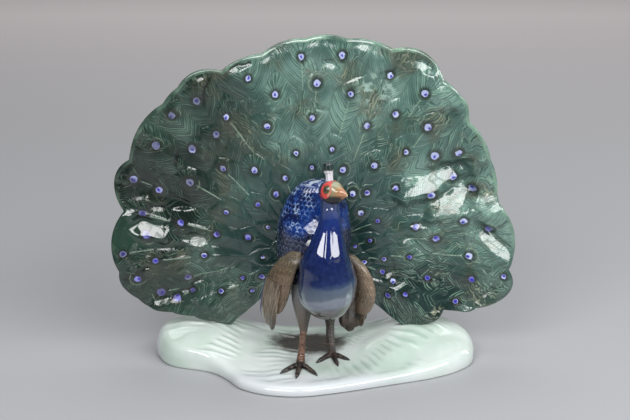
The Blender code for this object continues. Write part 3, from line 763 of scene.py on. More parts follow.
def wing(piece, stations, chord, quills, quill_start, bow, side):
    """One wing, covered with overlapping scales, and the long quills that leave it."""
    along = unit(np.array((*chord, 0.0)))
    through = np.array((-along[1], along[0], 0.0))
    count, cols = WING_GRID
    rows = smooth_rows(stations, count)
    half, turn = np.maximum(rows[:, 3:5, None], 0.1), ring_turns(cols)
    across, deep = half[:, 0] * np.cos(turn), half[:, 1] * np.sin(turn)
    points = on_bird(rows[:, None, [1, 2, 0]] + along * across[..., None] + through * deep[..., None])
    round_wing = COVERTS_ROUND * COVERT_SCALE[0]
    u = np.linspace(0, round_wing, cols, endpoint=False)
    v = 200 + (rows[0, 0] - rows[:, 0]) * UNIT_MM
    row = np.arange(count)[:, None]
    soft = ramp(row, 3, 12) * (1 - ramp(row, 62, 80))
    points = raised(points, COVERT_RISE * (1 - scale_inset(u, v[:, None], *COVERT_SCALE) / 1.9) * soft)
    piece.grid(points, "covert", turned(round_wing, v, cols, side))
    upper, last = (rows[np.argmin(np.abs(rows[:, 0] - up))] for up in (quill_start, QUILL_END[0]))
    for number, (start, end, tip_up, half_width) in enumerate(quills):
        first = np.array((upper[1], upper[2], quill_start)) + along * upper[3] * start
        tip = np.array((last[1], last[2] + 1.2, tip_up)) + along * QUILL_END[1] * end
        if side < 0:
            first -= through * (upper[4] * math.sqrt(1 - start * start) - 0.3 + 0.12 * number)
            tip -= through * (1.3 + 0.12 * number)
        else:
            first -= through * (1.2 - 0.28 * number)
            tip -= through * (0.2 - 0.105 * number)
        third = number / len(quills) + 0.001
        blade(piece, first, tip, along, through, half_width, "primary", bow, 0.85, third)


def head(piece):
    """The head and beak in one skin, from the nape to the tip of the beak."""
    rows, ring = smooth_rows(HEAD, HEAD_GRID[0]), ring_turns(HEAD_GRID[1])
    turn = math.radians(HEAD_TURN)
    ahead = np.array((math.cos(turn), math.sin(turn), 0.0))
    aside = np.array((-math.sin(turn), math.cos(turn), 0.0))
    cos, sin = np.cos(ring), np.sin(ring)
    a = rows[:, 0:1] * np.ones_like(ring)
    lateral = np.maximum(rows[:, 3:4], 0.06) * cos * (1 - 0.18 * ramp(a, 5.2, 7.0) * np.abs(sin))
    up = np.where(sin > 0, rows[:, 1:2] * sin, -rows[:, 2:3] * sin)
    # Brow over the eye, a socket round it, a full cheek below, the line of the mouth and the nostril
    socket = np.hypot(a - EYE[0], up - EYE[1])
    swell = 0.30 * bell((a - 0.8, 2.6), (up - 4.0, 0.9)) - 0.32 * np.exp(-((socket - 1.75) ** 2) / 0.30)
    swell += 0.28 * bell((a - 0.2, 2.4), (up + 1.9, 1.7))
    mouth = bell((up + 0.6 - 0.12 * (a - 4.5), 0.28)) * ramp(a, 3.4, 5.0) * (1 - ramp(a, 9.6, 10.3))
    swell += 0.30 * bell((a - 5.9, 0.7), (up - 1.7, 0.9)) - 0.20 * bell((a - 7.0, 0.45), (up - 1.0, 0.25))
    lateral = lateral + np.sign(cos) * (swell - 0.22 * mouth) * np.abs(cos) ** 0.5
    centre = np.array(HEAD_CENTRE)
    points = centre + ahead * a[..., None] + aside * lateral[..., None]
    points[..., 2] += up
    piece.grid(on_bird(points), "head", guide_of(a, up, 0.0))
    eye, _ = ball(*EYE_GRID, 0.03)
    for side in (-EYE_ASIDE, EYE_ASIDE):
        middle = centre + ahead * EYE[0] + aside * side + (0, 0, EYE[1])
        piece.grid(on_bird(middle + eye * EYE_RADIUS), "eye")


def bird(paints):
    piece = Piece("peacock_bird", ["breast", "cape", "head", "eye", "crest", "dark_feather"])
    points, rows = ovals(BREAST_AND_NECK, *BREAST_GRID)
    points, taken = flattened(points, BREAST_GLEAMS)
    # A thin seam runs down the neck and breast on each side
    up, seam = rows[:, 0:1], 0.0
    for place in (-0.62, math.pi + 0.75):
        off = np.angle(np.exp(1j * (ring_turns(BREAST_GRID[1]) - place - 0.004 * (up - 60)))) * rows[:, 3:4]
        seam = seam + bell((off, 0.42))
    seam = seam * ramp(up, 46, 52) * (1 - ramp(up, 70, 76)) * (1 - taken)
    piece.grid(raised(points, SEAM_RISE * seam), "breast")

    cols = CAPE_GRID[1]
    points, _ = ovals(CAPE, *CAPE_GRID)
    v = lengths(points[:, cols * 3 // 4])
    round_cape = CAPE_SCALES_ROUND * CAPE_SCALE[0]
    inset = scale_inset(np.linspace(0, round_cape, cols, endpoint=False), v[:, None], *CAPE_SCALE)
    points, taken = flattened(points, CAPE_GLEAMS)
    soft = (ramp(v, 0, 12) * (1 - ramp(v, v[-1] - 9, v[-1] - 2)))[:, None] * (1 - 0.8 * taken)
    points = raised(points, CAPE_RISE * (1 - inset / 1.9) * soft)
    points = raised(points, CAPE_UNEVEN * wobble(points[..., 0], points[..., 2], 0.03, 21) * soft)
    piece.grid(points, "cape", turned(round_cape, v, cols))

    points, tilt = ball(*RUMP_GRID, 0.02)
    centre, half = np.array(RUMP)
    round_rump = round(2 * math.pi * half[0] * UNIT_MM / 3.6) * 3.6
    guide = turned(round_rump, tilt * half[2] * UNIT_MM, RUMP_GRID[1])
    piece.grid(on_bird(centre + points * half), "dark_feather", guide)
    head(piece)
    tube(piece, CREST, "crest", CREST_GRID)
    piece.made(paints)


def wings(paints):
    piece = Piece("peacock_wings", ["covert", "primary", "dark_feather"])
    for values in WINGS:
        wing(piece, *values)
    along, through = np.array((0.94, -0.34, 0.0)), np.array((0.34, 0.94, 0.0))
    for number, (across, deep, tip_up, half_width) in enumerate(UNDER_FEATHERS):
        first, tip = np.array((across + 0.8, deep, 31.0)), np.array((across, deep, tip_up))
        blade(piece, first, tip, along, through, half_width * 1.1, "dark_feather", -0.8, 1.9, number / 4)
    piece.made(paints)


def scutes(t):
    return 1 + 0.035 * np.abs(np.sin(t * math.pi * 11))


def knuckles(t):
    return 1 + 0.09 * np.abs(np.cos(t * math.pi * 4))


def legs(paints):
    piece = Piece("peacock_legs", ["thigh", "shank"])
    for stations in (NEAR_THIGH, FAR_THIGH):
        tube(piece, stations, "thigh", THIGH_GRID)
    for stations, tint in ((NEAR_SHANK, 0.0), (FAR_SHANK, 0.5)):
        tube(piece, stations, "shank", SHANK_GRID, scutes, tint)
    tube(piece, SPUR, "shank", SPUR_GRID, third=0.5)
    for foot, claws in FEET:
        for claw in claws:
            reach = np.subtract(claw, foot)
            stations = [(*(foot + reach * t), up, TOE_RADIUS * radius) for t, up, radius in TOE]
            tube(piece, stations, "shank", TOE_GRID, knuckles, 1.0)
    piece.made(paints)


# Glazes


def put(socket, value):
    """Links a value to a socket, or sets a number there, or a colour as seen, 0 to 255."""
    if isinstance(value, Value):
        socket.id_data.links.new(value.socket, socket)
    else:
        socket.default_value = srgb(*value) if isinstance(value, tuple) and len(value) == 3 else value


def math_node(operation, swapped=False):
    def made(self, other=0.0):
        node = self.socket.id_data.nodes.new("ShaderNodeMath")
        node.operation = operation
        put(node.inputs[0], other if swapped else self)
        put(node.inputs[1], self if swapped else other)
        return Value(node.outputs[0])

    return made


class Value:
    """What a node puts out. Arithmetic on it adds math nodes to its tree."""

    __add__ = __radd__ = math_node("ADD")
    __mul__ = __rmul__ = math_node("MULTIPLY")
    __sub__, __rsub__ = math_node("SUBTRACT"), math_node("SUBTRACT", swapped=True)
    __truediv__, __mod__, __pow__ = math_node("DIVIDE"), math_node("MODULO"), math_node("POWER")
    __gt__, most, turn = math_node("GREATER_THAN"), math_node("MAXIMUM"), math_node("ARCTAN2")
    __abs__, root, sine = math_node("ABSOLUTE"), math_node("SQRT"), math_node("SINE")
    floor, fract = math_node("FLOOR"), math_node("FRACT")

    def __init__(self, socket):
        self.socket = socket

    def step(self, low, high, to_low=0.0, to_high=1.0):
        """Goes smoothly from to_low to to_high as the value goes from low to high."""
        node = self.socket.id_data.nodes.new("ShaderNodeMapRange")
        node.interpolation_type = "SMOOTHSTEP"
        for name, number in (("From Min", low), ("From Max", high), ("To Min", to_low), ("To Max", to_high)):
            put(node.inputs[name], number)
        put(node.inputs["Value"], self)
        return Value(node.outputs["Result"])


class Paint:
    """A node material that ends in one glazed shader. Its painter lays one colour over another."""

    def __init__(self, name, roughness, coat):
        self.material = bpy.data.materials.new(name)
        self.material.use_nodes = True
        self.shader = self.material.node_tree.nodes["Principled BSDF"]
        numbers = {"Roughness": roughness, "Coat Weight": coat, "Coat Roughness": 0.03, "IOR": 1.5}
        for socket, number in numbers.items():
            put(self.shader.inputs[socket], number)
        self.place = Value(self.node("TexCoord").outputs["Object"])
        self.colour = None

    def node(self, kind):
        return self.material.node_tree.nodes.new("ShaderNode" + kind)

    def split(self, vector):
        node = self.node("SeparateXYZ")
        put(node.inputs[0], vector)
        return [Value(socket) for socket in node.outputs]

    def join(self, *values):
        node = self.node("CombineXYZ")
        for socket, value in zip(node.inputs, values):
            put(socket, value)
        return Value(node.outputs[0])

    @property
    def xyz(self):
        return self.split(self.place)

    def attribute_value(self, name, output="Fac"):
        node = self.node("Attribute")
        node.attribute_name = name
        return Value(node.outputs[output])

    def attribute(self, name):
        return self.split(self.attribute_value(name, "Vector"))

    def noise(self, scale, detail=3.0, at=None):
        node = self.node("TexNoise")
        numbers = {"Vector": at or self.place, "Scale": scale, "Detail": detail, "Roughness": 0.55}
        for socket, value in numbers.items():
            put(node.inputs[socket], value)
        return Value(node.outputs["Fac"])

    def mix(self, share, a, b):
        node = self.node("Mix")
        node.data_type = "RGBA"
        for number, value in ((0, share), (6, a), (7, b)):
            put(node.inputs[number], value)
        return Value(node.outputs[2])

    def lay(self, share, colour):
        """Lays a share of a colour over what is painted so far."""
        self.colour = self.mix(share, self.colour, colour)

    def ramp(self, value, low, high, stops):
        """A colour ramp: stops are (place between low and high, colour)."""
        node = self.node("ValToRGB")
        elements = node.color_ramp.elements
        while len(elements) < len(stops):
            elements.new(0.5)
        for element, (place, colour) in zip(elements, stops):
            element.position = (place - low) / (high - low)
            element.color = srgb(*colour)
        put(node.inputs[0], (value - low) / (high - low))
        return Value(node.outputs[0])

    def bump(self, height, distance, strength=1.0):
        node = self.node("Bump")
        for socket, value in (("Strength", strength), ("Distance", distance), ("Height", height)):
            put(node.inputs[socket], value)
        put(self.shader.inputs["Normal"], Value(node.outputs[0]))

    def scales(self, u, v, wide, tall):
        """The same overlapping scales as scale_inset, drawn finely."""
        across, up = u / wide, v / tall
        row = up.floor()
        b = up - row
        shift = row % 2.0 * 0.5

        def arch(offset):
            a = (across + shift + offset).fract() - 0.5
            return (1.0 - a * a * 4.0).most(0.0).root() * 0.95

        first = arch(0.0) - b
        over = first > 0.0
        return over * first + (1.0 - over) * (arch(0.5) + 1.0 - b)

    def done(self):
        put(self.shader.inputs["Base Color"], self.colour)
        return self.material


def train_front(p):
    x, _, z = p.xyz
    t, s, size = p.attribute("guide")
    bold = size > 1.6
    size = size - bold * 2.0
    phase, gap, share = p.attribute("comb")
    coarse = p.noise(22.0, 4.0)
    fine = p.noise(260.0, 3.0)
    mid = p.noise(75.0, 3.0)
    along = (t * t + s * s).root()
    drift = phase + (coarse - 0.5) * 14.0 + (mid - 0.5) * 4.0 + (fine - 0.5) * 0.9
    # Some patches are combed outwards from the bird instead
    hx, hz = x * 1000.0 + 1.0, z * 1000.0 - 92.0
    reach = (hx * hx + hz * hz).root()
    arc = hz.turn(hx) * 120.0
    arc = arc + (coarse - 0.5) * 46.0 + (mid - 0.5) * 7.0 + (fine - 0.5) * 0.9
    patch = p.noise(30.0, 2.0).step(0.52, 0.55)
    drift = drift * (1.0 - patch) + arc * patch
    along = along * (1.0 - patch) + reach * patch
    comb = (drift * (2 * math.pi / 2.3)).sine() * 0.5 + 0.5
    streak = p.noise(1.0, 2.0, at=p.join(drift * 0.62, along * 0.06, size * 9.0))
    comb = comb * 0.42 + streak.step(0.32, 0.68) * 0.58
    clear = p.noise(44.0, 2.0).step(0.32, 0.54, 0.3, 1.0)
    comb_strength = clear * gap.step(0.2, 2.5, 0.5, 1.0)
    side = abs(t + (mid - 0.5) * 2.0)
    shaft = side.step(0.75, 0.2) * s.step(-5.0, -8.0) * s.step(-55.0, -30.0)
    shaft = shaft * bold * fine.step(0.3, 0.6, 0.4, 1.0)
    across = x + (coarse - 0.5) * 0.16
    p.colour = p.mix(across.step(-0.15, 0.02), (18, 32, 26), (76, 106, 98))
    light = p.mix(across.step(-0.15, 0.02), (38, 58, 48), (112, 144, 134))
    p.lay(coarse.step(0.4, 0.64), light)
    olive = p.noise(31.0, 3.0).step(0.5, 0.66)
    p.lay(olive * 0.6, (74, 76, 60))
    teal = p.noise(17.0, 2.0, at=p.join(z, x, 0.4)).step(0.5, 0.68)
    p.lay(teal * 0.5, (34, 70, 62))
    p.lay(z.step(0.115, 0.06, 0.0, 0.6), (40, 58, 50))
    hub = share.step(0.5, 0.18)
    p.lay(hub * 0.85, (24, 52, 54))
    crease = p.attribute_value("crease")
    smooth = x.step(-0.125, -0.138) * z.step(0.098, 0.108) * z.step(0.135, 0.126)
    p.lay(smooth * 0.6, (38, 62, 50))
    comb_strength = comb_strength * (1.0 - smooth * 0.8)
    comb_strength = comb_strength * share.step(0.25, 0.55, 0.45, 1.0)
    near = ((x - 0.01) * (x - 0.01) + (z - 0.12) * (z - 0.12)).root()
    p.lay(near.step(0.105, 0.035, 0.0, 0.75), (18, 46, 46))
    comb_strength = comb_strength * near.step(0.04, 0.1, 0.4, 1.0)
    p.lay(x.step(0.03, 0.07) * z.step(0.1, 0.07) * x.step(0.15, 0.12) * 0.8, (20, 40, 40))
    p.lay(x.step(-0.07, -0.13) * z.step(0.11, 0.15) * z.step(0.22, 0.17) * 0.8, (16, 28, 24))
    dim = across.step(-0.14, 0.05, 0.22, 0.8)
    pale = p.mix(dim, p.colour, p.mix(olive, (138, 172, 152), (146, 148, 124)))
    groove = p.mix(0.6, p.colour, (16, 32, 26))
    p.lay(comb.step(0.56, 0.86) * comb_strength * 0.8, pale)
    p.lay(comb.step(0.42, 0.16) * comb_strength * 0.85, groove)
    p.lay(gap.step(1.6, 0.0) * 0.25, (30, 50, 42))
    p.lay(shaft * 0.6, (150, 176, 156))
    # The pale mint rim: partly the glaze thinning at the edge, partly a painted highlight, as it is kept to
    # the upper edges and is strongest on the right
    edge = share + (mid - 0.5) * 0.03
    edge = edge.step(0.985, 1.0) * p.noise(60.0, 3.0).step(0.36, 0.62, 0.1, 0.75)
    edge = edge * z.step(0.07, 0.13) * x.step(-0.14, -0.02, 0.3, 1.0)
    p.lay(edge, (132, 166, 144))
    tx, tz = x - 0.055, z - 0.241
    tangle = (tx * tx + tz * tz).root().step(0.022, 0.008)
    tangle = tangle * p.noise(170.0, 3.0).step(0.47, 0.6) * 0.6
    p.lay(tangle, (180, 208, 196))
    # Painted shade in the creases of the train, deeper on the left
    p.lay(crease * x.step(0.02, 0.08, 0.9, 0.45), (14, 22, 18))
    wavy = (p.noise(330.0, 2.0) - 0.5) * 2.6
    sway = p.noise(55.0, 0.0, at=p.join(z, x, 0.9))
    tx = (t + wavy) / size
    sx = (s - wavy) / size
    ring = (tx * tx * 1.25 + sx * sx).root()
    ring = ring * p.noise(37.0, 0.0, at=p.join(x, z, 0.2)).step(0.36, 0.64, 0.92, 1.22)
    p.lay(ring.step(8.0, 3.8, 0.0, 0.8), (34, 38, 34))
    loop = ring.step(6.9, 7.5) * ring.step(8.4, 7.8) * sway.step(0.6, 0.66) * 0.4
    p.lay(loop, (150, 162, 140))
    hue = p.noise(61.0, 0.0, at=p.join(z, x, 0.7)).step(0.44, 0.6)
    hue = hue.most(z.step(0.13, 0.18, 0.0, 0.75))
    p.lay(ring.step(3.3, 2.5), p.mix(hue, (132, 134, 206), (192, 202, 236)))
    high = sx + 0.5 + (sway - 0.5) * 5.0
    wide = tx + (p.noise(50.0, 0.0) - 0.5) * 7.0
    pupil = (wide * wide * 1.3 + high * high).root()
    pupil = pupil + z.step(0.13, 0.18, 0.0, 0.8)
    inside = ring.step(3.1, 2.3)
    p.lay(inside * pupil.step(2.7, 1.5), (66, 64, 172))
    p.lay(inside * pupil.step(1.1, 0.4, 0.0, 0.6), (30, 30, 110))
    dull = x.step(-0.05, -0.09) * p.noise(40.0, 0.0, at=p.join(x, z, 1.3)).step(0.46, 0.54)
    p.lay(dull * ring.step(3.6, 2.4) * 0.75, (56, 54, 86))
    height = comb * comb_strength + shaft * 1.3 + fine * 0.35
    height = height + ring.step(8.0, 3.5, 0.0, -0.6) + gap.step(1.4, 0.0) * -0.5
    p.bump(height, 0.00015, 1.0)


def train_back(p):
    angle, reach, _ = p.attribute("guide")
    _, _, share = p.attribute("comb")
    coarse = p.noise(25.0, 4.0)
    fine = p.noise(240.0, 3.0)
    turn = angle + (coarse - 0.5) * 3.0
    rib = abs((turn * (math.pi / 6.43)).sine())
    barb = (reach * (2 * math.pi / 3.2) + rib * 7.0 + fine * 3.0).sine()
    barb = barb * 0.5 + 0.5
    p.colour = p.mix(coarse.step(0.35, 0.7), (120, 146, 130), (164, 184, 168))
    p.lay(share.step(0.42, 0.3), (120, 104, 88))
    p.lay(barb * 0.35, (76, 98, 84))
    p.lay(rib.step(0.12, 0.0, 0.0, 0.6), (196, 204, 188))
    p.lay(share.step(0.965, 1.0, 0.0, 0.85), (168, 200, 178))
    p.bump(barb + rib.step(0.14, 0.0, 0.0, 2.4) + fine * 0.4, 0.0002)


def breast(p):
    x, y, z = p.xyz
    soft = p.noise(45.0, 3.0)
    tall = p.noise(60.0, 3.0, at=p.join(x * 3.0, y * 3.0, z))
    height = z * 1000.0
    height = height + (soft - 0.5) * 9.0 + (tall - 0.5) * 3.0 + x * -120.0
    p.colour = p.ramp(height, 40, 190, (
        (57, (62, 54, 46)), (63.5, (84, 78, 74)), (68, (112, 120, 130)), (74, (122, 130, 142)),
        (76.5, (82, 96, 110)), (84, (62, 80, 100)), (90, (24, 38, 78)), (106, (10, 26, 72)),
        (128, (14, 32, 96)), (146, (26, 52, 116)), (158, (24, 50, 100)), (166, (20, 34, 50)),
    ))
    p.lay(p.noise(300.0).step(0.35, 0.8, 0.0, 0.18), (60, 84, 150))
    p.bump(p.noise(90.0, 2.0), 0.0002, 0.25)


def cape(p):
    x, _, z = p.xyz
    u, v, _ = p.attribute("guide")
    soft = p.noise(160.0, 2.0) - 0.5
    other = p.noise(110.0, 2.0) - 0.5
    inset = p.scales(u + soft * 2.4, v + other * 4.0, *CAPE_SCALE)
    blot = p.noise(60.0, 3.0)
    p.colour = p.mix(blot.step(0.35, 0.65), (8, 24, 72), (20, 58, 134))
    # Painted shade: the lower cape is darkened, and more deeply on its lower right
    low = z.step(0.131, 0.118) * x.step(-0.044, -0.03)
    p.lay(low * 0.85, (8, 14, 32))
    shade = x.step(-0.02, 0.022) * z.step(0.118, 0.098)
    shade = shade.most(z.step(0.112, 0.098))
    p.lay(shade * 0.9, (20, 24, 38))
    calm = x.step(0.024, 0.014, 0.15, 1.0) * (1.0 - shade * 0.55)
    edge = inset.step(0.5, 0.15) * p.noise(100.0, 2.0).step(0.41, 0.52)
    dash = p.noise(1.0, 1.0, at=p.join((u + other * 6.0) * 0.2, (v + soft * 9.0) * 0.55))
    edge = edge.most(dash.step(0.63, 0.69)) * calm * low.step(0.0, 1.0, 1.0, 0.4)
    tint = p.noise(90.0, 1.0).step(0.45, 0.62)
    tint = p.mix(tint, (62, 104, 184), (164, 190, 228))
    p.lay(edge * 0.9, p.mix(low, tint, (120, 134, 160)))
    p.lay(inset.step(0.75, 1.7) * 0.7, (12, 18, 52))
    brow = z.step(0.1625, 0.1655) * p.noise(200.0, 2.0).step(0.47, 0.56)
    p.lay(brow * 0.8, (196, 208, 222))
    p.bump(inset.step(0.0, 1.7, 1.0, 0.0) + p.noise(400.0, 2.0) * 0.3, 0.0004)


def head_paint(p):
    a, up, _ = p.attribute("guide")
    soft = p.noise(350.0, 3.0) - 0.5
    a = a + soft * 0.7
    up = up + soft * 0.7
    p.colour = p.ramp(a, -7, 11, (
        (-3.0, (34, 52, 96)), (0.5, (84, 96, 92)), (3.0, (132, 134, 104)), (5.4, (158, 130, 94)),
        (7.0, (168, 118, 84)), (9.6, (184, 138, 108)), (10.3, (226, 206, 184)),
    ))
    low = up.step(0.5, -1.2)
    p.lay(low * a.step(8.6, 6.6), (30, 30, 30))
    top = up.step(3.2, 4.6)
    p.lay(top * a.step(1.5, 3.0) * 0.7, (150, 160, 134))
    ax, uz = a - (EYE[0] - 0.2), up - (EYE[1] - 0.4)
    patch = (ax * ax + uz * uz * 0.62).root()
    p.lay(patch.step(3.1, 2.6), (206, 74, 72))
    front = patch.step(2.9, 2.2) * ax.step(1.1, 1.7)
    p.lay(front * 0.7, (190, 176, 140))
    streak = a.step(-0.8, -1.8) * a.step(-4.2, -3.2) * up.step(0.0, -1.0)
    p.lay(streak * 0.9, (170, 52, 72))
    ex, ez = a - EYE[0], up - EYE[1]
    socket = (ex * ex + ez * ez).root()
    p.lay(socket.step(2.1, 1.6), (86, 84, 56))
    mouth = abs(up + (a - 4.5) * -0.12 + 0.6)
    p.lay(mouth.step(0.3, 0.08) * a.step(4.2, 5.2) * 0.6, (96, 62, 44))
    p.bump(p.noise(700.0, 3.0), 0.0001, 0.5)


def eye_paint(p):
    p.colour = p.mix(p.noise(900.0, 2.0).step(0.4, 0.7), (10, 12, 10), (34, 38, 26))


def crest_paint(p):
    u, _, _ = p.attribute("guide")
    _, _, z = p.xyz
    edge = z * 1000.0 + (p.noise(400.0, 2.0) - 0.5) * 4.0
    groove = (u * (2 * math.pi * 9)).sine()
    p.colour = p.mix(edge.step(184.2, 185.4), (226, 226, 234), (22, 42, 38))
    p.lay(groove.step(0.2, 1.0, 0.0, 0.25), (120, 132, 138))
    p.bump(groove, 0.00018)


def covert(p):
    x, _, z = p.xyz
    u, v, side = p.attribute("guide")
    soft = p.noise(220.0, 2.0) - 0.5
    inset = p.scales(u + soft * 5.0, v + soft * 9.0, *COVERT_SCALE)
    blot = p.noise(70.0, 3.0)
    hair = p.noise(1.0, 3.0, at=p.join((u + soft * 3.0) * 1.1, v * 0.16))
    p.colour = p.mix(blot.step(0.35, 0.65), (76, 62, 48), (116, 94, 74))
    p.lay(hair.step(0.42, 0.66, 0.0, 0.6), (150, 128, 102))
    p.lay(hair.step(0.42, 0.3, 0.0, 0.6), (50, 42, 34))
    p.lay(z.step(0.088, 0.104, 0.0, 0.45), (88, 92, 80))
    # Painted shade darkens the left wing; painted light brightens the right wing
    p.lay(side.step(0.5, -0.5, 0.0, 0.28), (40, 38, 32))
    p.lay(side.step(-0.5, 0.5, 0.0, 0.14), (160, 152, 144))
    inner = side.step(-0.5, 0.5) * x.step(0.044, 0.034)
    p.lay(inner * 0.6, (44, 38, 32))
    smooth = z.step(0.066, 0.056)
    rough = 1.0 - smooth
    p.lay(inset.step(0.34, 0.06) * rough * side.step(-1.0, 1.0, 0.35, 0.8), (164, 146, 120))
    p.lay(inset.step(0.9, 1.8) * rough * 0.45, (48, 38, 30))
    p.lay(smooth * 0.45, (124, 100, 80))
    p.bump(inset.step(0.0, 1.7, 1.0, 0.0) * rough * 0.8 + hair * 1.2, 0.0003)


def primary(p):
    t, s, number = p.attribute("guide")
    half, length, _ = p.attribute("comb")
    side = abs(t)
    rim = side / half
    barb = (s * (2 * math.pi / 1.1) + side * -4.0 + p.noise(250.0) * 3.0).sine()
    p.colour = p.mix(p.noise(90.0).step(0.35, 0.65), (70, 56, 44), (110, 94, 78))
    hair = p.noise(1.0, 3.0, at=p.join(t * 1.3, s * 0.07, number * 20.0))
    p.lay(hair.step(0.44, 0.66, 0.0, 0.7), (168, 150, 128))
    p.lay(hair.step(0.44, 0.32, 0.0, 0.5), (66, 54, 44))
    p.lay(number.step(0.15, 0.0), (96, 94, 150))
    tip = number.step(0.1, 0.2) * number.step(0.4, 0.3) * (s / length).step(0.6, 0.95)
    p.lay(tip * 0.8, (178, 176, 166))
    last = number.step(0.6, 0.72) * (s / length).step(0.55, 0.9)
    p.lay(last * 0.85, (48, 40, 34))
    p.lay(barb.step(-0.2, 1.0) * 0.14, (60, 46, 36))
    p.lay(rim.step(0.84, 0.99, 0.0, 0.35), (176, 160, 138))
    p.lay(side.step(0.35, 0.1, 0.0, 0.35), (160, 140, 116))
    p.bump(barb * 0.3 + side.step(0.6, 0.0, 0.0, 1.2), 0.00012)


def dark_feather(p):
    t, s, _ = p.attribute("guide")
    side = abs(t)
    barb = (s * (2 * math.pi / 1.5) + side * -3.0 + p.noise(200.0) * 4.0).sine()
    p.colour = p.mix(p.noise(90.0).step(0.3, 0.7), (36, 30, 25), (84, 68, 54))
    p.lay(barb.step(0.0, 1.0) * 0.4, (26, 22, 18))
    p.bump(barb, 0.0002)


def thigh(p):
    x, y, z = p.xyz
    streak = p.noise(110.0, 3.0, at=p.join(x * 4.0, y * 4.0, z))
    height = z * 1000.0 + (streak - 0.5) * 10.0
    p.colour = p.ramp(height, 30, 80, (
        (34, (76, 58, 46)), (42, (88, 76, 64)), (54, (102, 96, 88)), (70, (112, 112, 112)),
    ))
    p.lay(streak.step(0.5, 0.8, 0.0, 0.5), (74, 64, 56))
    dark = x.step(-0.0085, -0.004) * z.step(0.07, 0.056) * z.step(0.03, 0.038)
    dark = (dark * 0.85).most(x.step(0.004, 0.008) * 0.75)
    p.lay(dark, (46, 36, 28))
    p.bump(streak, 0.0006, 0.7)


def shank(p):
    _, v, toe = p.attribute("guide")
    _, _, z = p.xyz
    ring = (v * (2 * math.pi / 2.0)).sine()
    tint = p.noise(240.0, 3.0)
    p.colour = p.mix(tint.step(0.35, 0.65), (84, 56, 44), (128, 94, 76))
    p.lay(toe.step(0.2, 0.4), p.mix(tint.step(0.35, 0.7), (40, 30, 24), (66, 50, 40)))
    dark = p.mix(tint.step(0.46, 0.66), (24, 22, 22), (90, 76, 66))
    p.lay(z.step(0.017, 0.011), dark)
    p.lay(ring.step(0.4, 1.0) * 0.5, (38, 30, 26))
    p.bump(ring, 0.00022)


def ground_paint(p):
    stroke, x, y = p.attribute("guide")
    _, _, z = p.xyz
    wash = p.noise(20.0, 3.0)
    fine = p.noise(110.0, 3.0)
    p.colour = p.mix(wash.step(0.36, 0.7), (212, 220, 217), (188, 206, 195))
    line = (stroke + (fine - 0.5) * 0.5).step(0.35, 0.85)
    p.lay(line * 0.6, (158, 182, 170))
    # Painted shadow: a dark brown wash on the ground under the bird's belly
    under = (((x + 3.0) / 40.0) ** 2.0 + ((y - 32.0) / 27.0) ** 2.0).root()
    p.lay((under + (fine - 0.5) * 0.5).step(1.1, 0.6, 0.0, 0.95), (56, 49, 40))
    p.lay(y.step(-22.0, -46.0, 0.0, 0.8), (205, 209, 214))
    p.lay(z.step(0.0035, 0.0, 0.0, 0.25), (200, 204, 200))
    p.bump(fine * 0.6 + stroke * -0.6, 0.0004, 0.6)


# What paints each glaze, its roughness and its clear coat
GLAZES = {
    "train_front": (train_front, 0.08, 0.6), "train_back": (train_back, 0.14, 0.1),
    "breast": (breast, 0.05, 1.0), "cape": (cape, 0.09, 0.6), "head": (head_paint, 0.12, 0.2),
    "eye": (eye_paint, 0.05, 1.0), "crest": (crest_paint, 0.1, 0.3), "covert": (covert, 0.13, 0.4),
    "primary": (primary, 0.12, 0.4), "dark_feather": (dark_feather, 0.18, 0.1),
    "thigh": (thigh, 0.18, 0.1), "shank": (shank, 0.1, 0.5), "ground": (ground_paint, 0.08, 0.3),
}


def glazed(name):
    painter, roughness, coat = GLAZES[name]
    paint = Paint(f"{name}_glaze", roughness, coat)
    painter(paint)
    return paint.done()


# Studio


def placed(name, data, location=(0.0, 0.0, 0.0), turn=(0.0, 0.0, 0.0)):
    """A new object of the scene, turned by the given degrees."""
    obj = bpy.data.objects.new(name, data)
    obj.location = location
    obj.rotation_euler = [math.radians(value) for value in turn]
    bpy.context.scene.collection.objects.link(obj)
    return obj


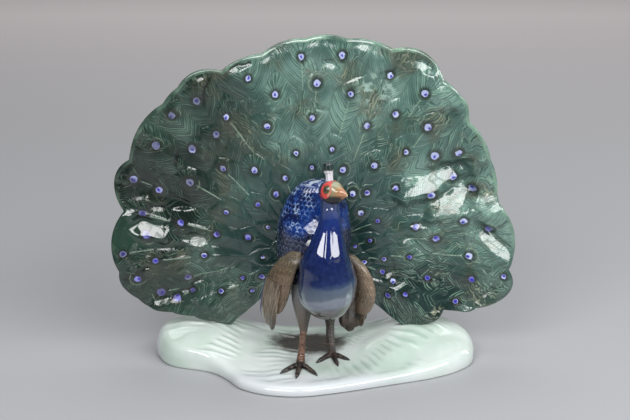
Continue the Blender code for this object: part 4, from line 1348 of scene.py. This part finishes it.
def studio():
    def floor_tone(share):
        return (*(value * share for value in FLOOR_COLOUR), 1.0)

    p = Paint("studio_floor", 0.55, 0.0)
    _, deep, _ = p.xyz
    p.colour = p.mix(p.noise(2.0, 2.0), floor_tone(1.0), floor_tone(0.96))
    # Painted light: the floor turns lighter far from the camera
    p.lay(((deep - FLOOR_FAR[0]) / FLOOR_FAR[1]).most(0.0) ** 2.7, (*FAR_FLOOR_COLOUR, 1.0))
    # Painted shade: the floor darkens towards the camera
    p.lay(deep.step(*FLOOR_FRONT), floor_tone(0.42))
    mesh = bpy.data.meshes.new("studio_floor")
    sides = ((-1, -1), (1, -1), (1, 1), (-1, 1))
    mesh.from_pydata([(x * FLOOR_HALF, y * FLOOR_HALF, -FLOOR_DROP) for x, y in sides], [], [(0, 1, 2, 3)])
    mesh.materials.append(p.done())
    placed("studio_floor", mesh)

    world = bpy.data.worlds.new("studio_world")
    world.use_nodes = True
    sky = world.node_tree.nodes["Background"]
    sky.inputs["Color"].default_value = (*WORLD[0], 1.0)
    sky.inputs["Strength"].default_value = WORLD[1]
    bpy.context.scene.world = world

    for number, (azimuth, elevation, distance, wide, tall, power) in enumerate(SOFTBOXES):
        light = bpy.data.lights.new(f"softbox_{number + 1}", "AREA")
        light.shape = "RECTANGLE"
        light.size, light.size_y = wide, tall
        light.energy = power
        placed(light.name, light, in_studio(azimuth, elevation, distance), (90 - elevation, 0.0, azimuth))

    camera = placed("camera", bpy.data.cameras.new("camera"), CAMERA_AT, (CAMERA_TILT, 0.0, 0.0))
    camera.data.lens = CAMERA_LENS
    camera.data.sensor_width = 36.0
    bpy.context.scene.camera = camera
    bpy.context.scene.view_settings.view_transform = "Standard"


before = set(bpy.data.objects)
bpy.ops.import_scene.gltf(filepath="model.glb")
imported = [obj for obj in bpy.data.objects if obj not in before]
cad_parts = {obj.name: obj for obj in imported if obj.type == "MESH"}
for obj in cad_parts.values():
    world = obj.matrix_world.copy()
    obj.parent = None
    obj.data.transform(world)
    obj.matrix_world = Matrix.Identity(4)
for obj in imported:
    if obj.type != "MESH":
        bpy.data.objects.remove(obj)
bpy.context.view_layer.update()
studio()
PAINTS = {name: glazed(name) for name in GLAZES}
for build in (train, ground, bird, wings, legs):
    build(PAINTS)
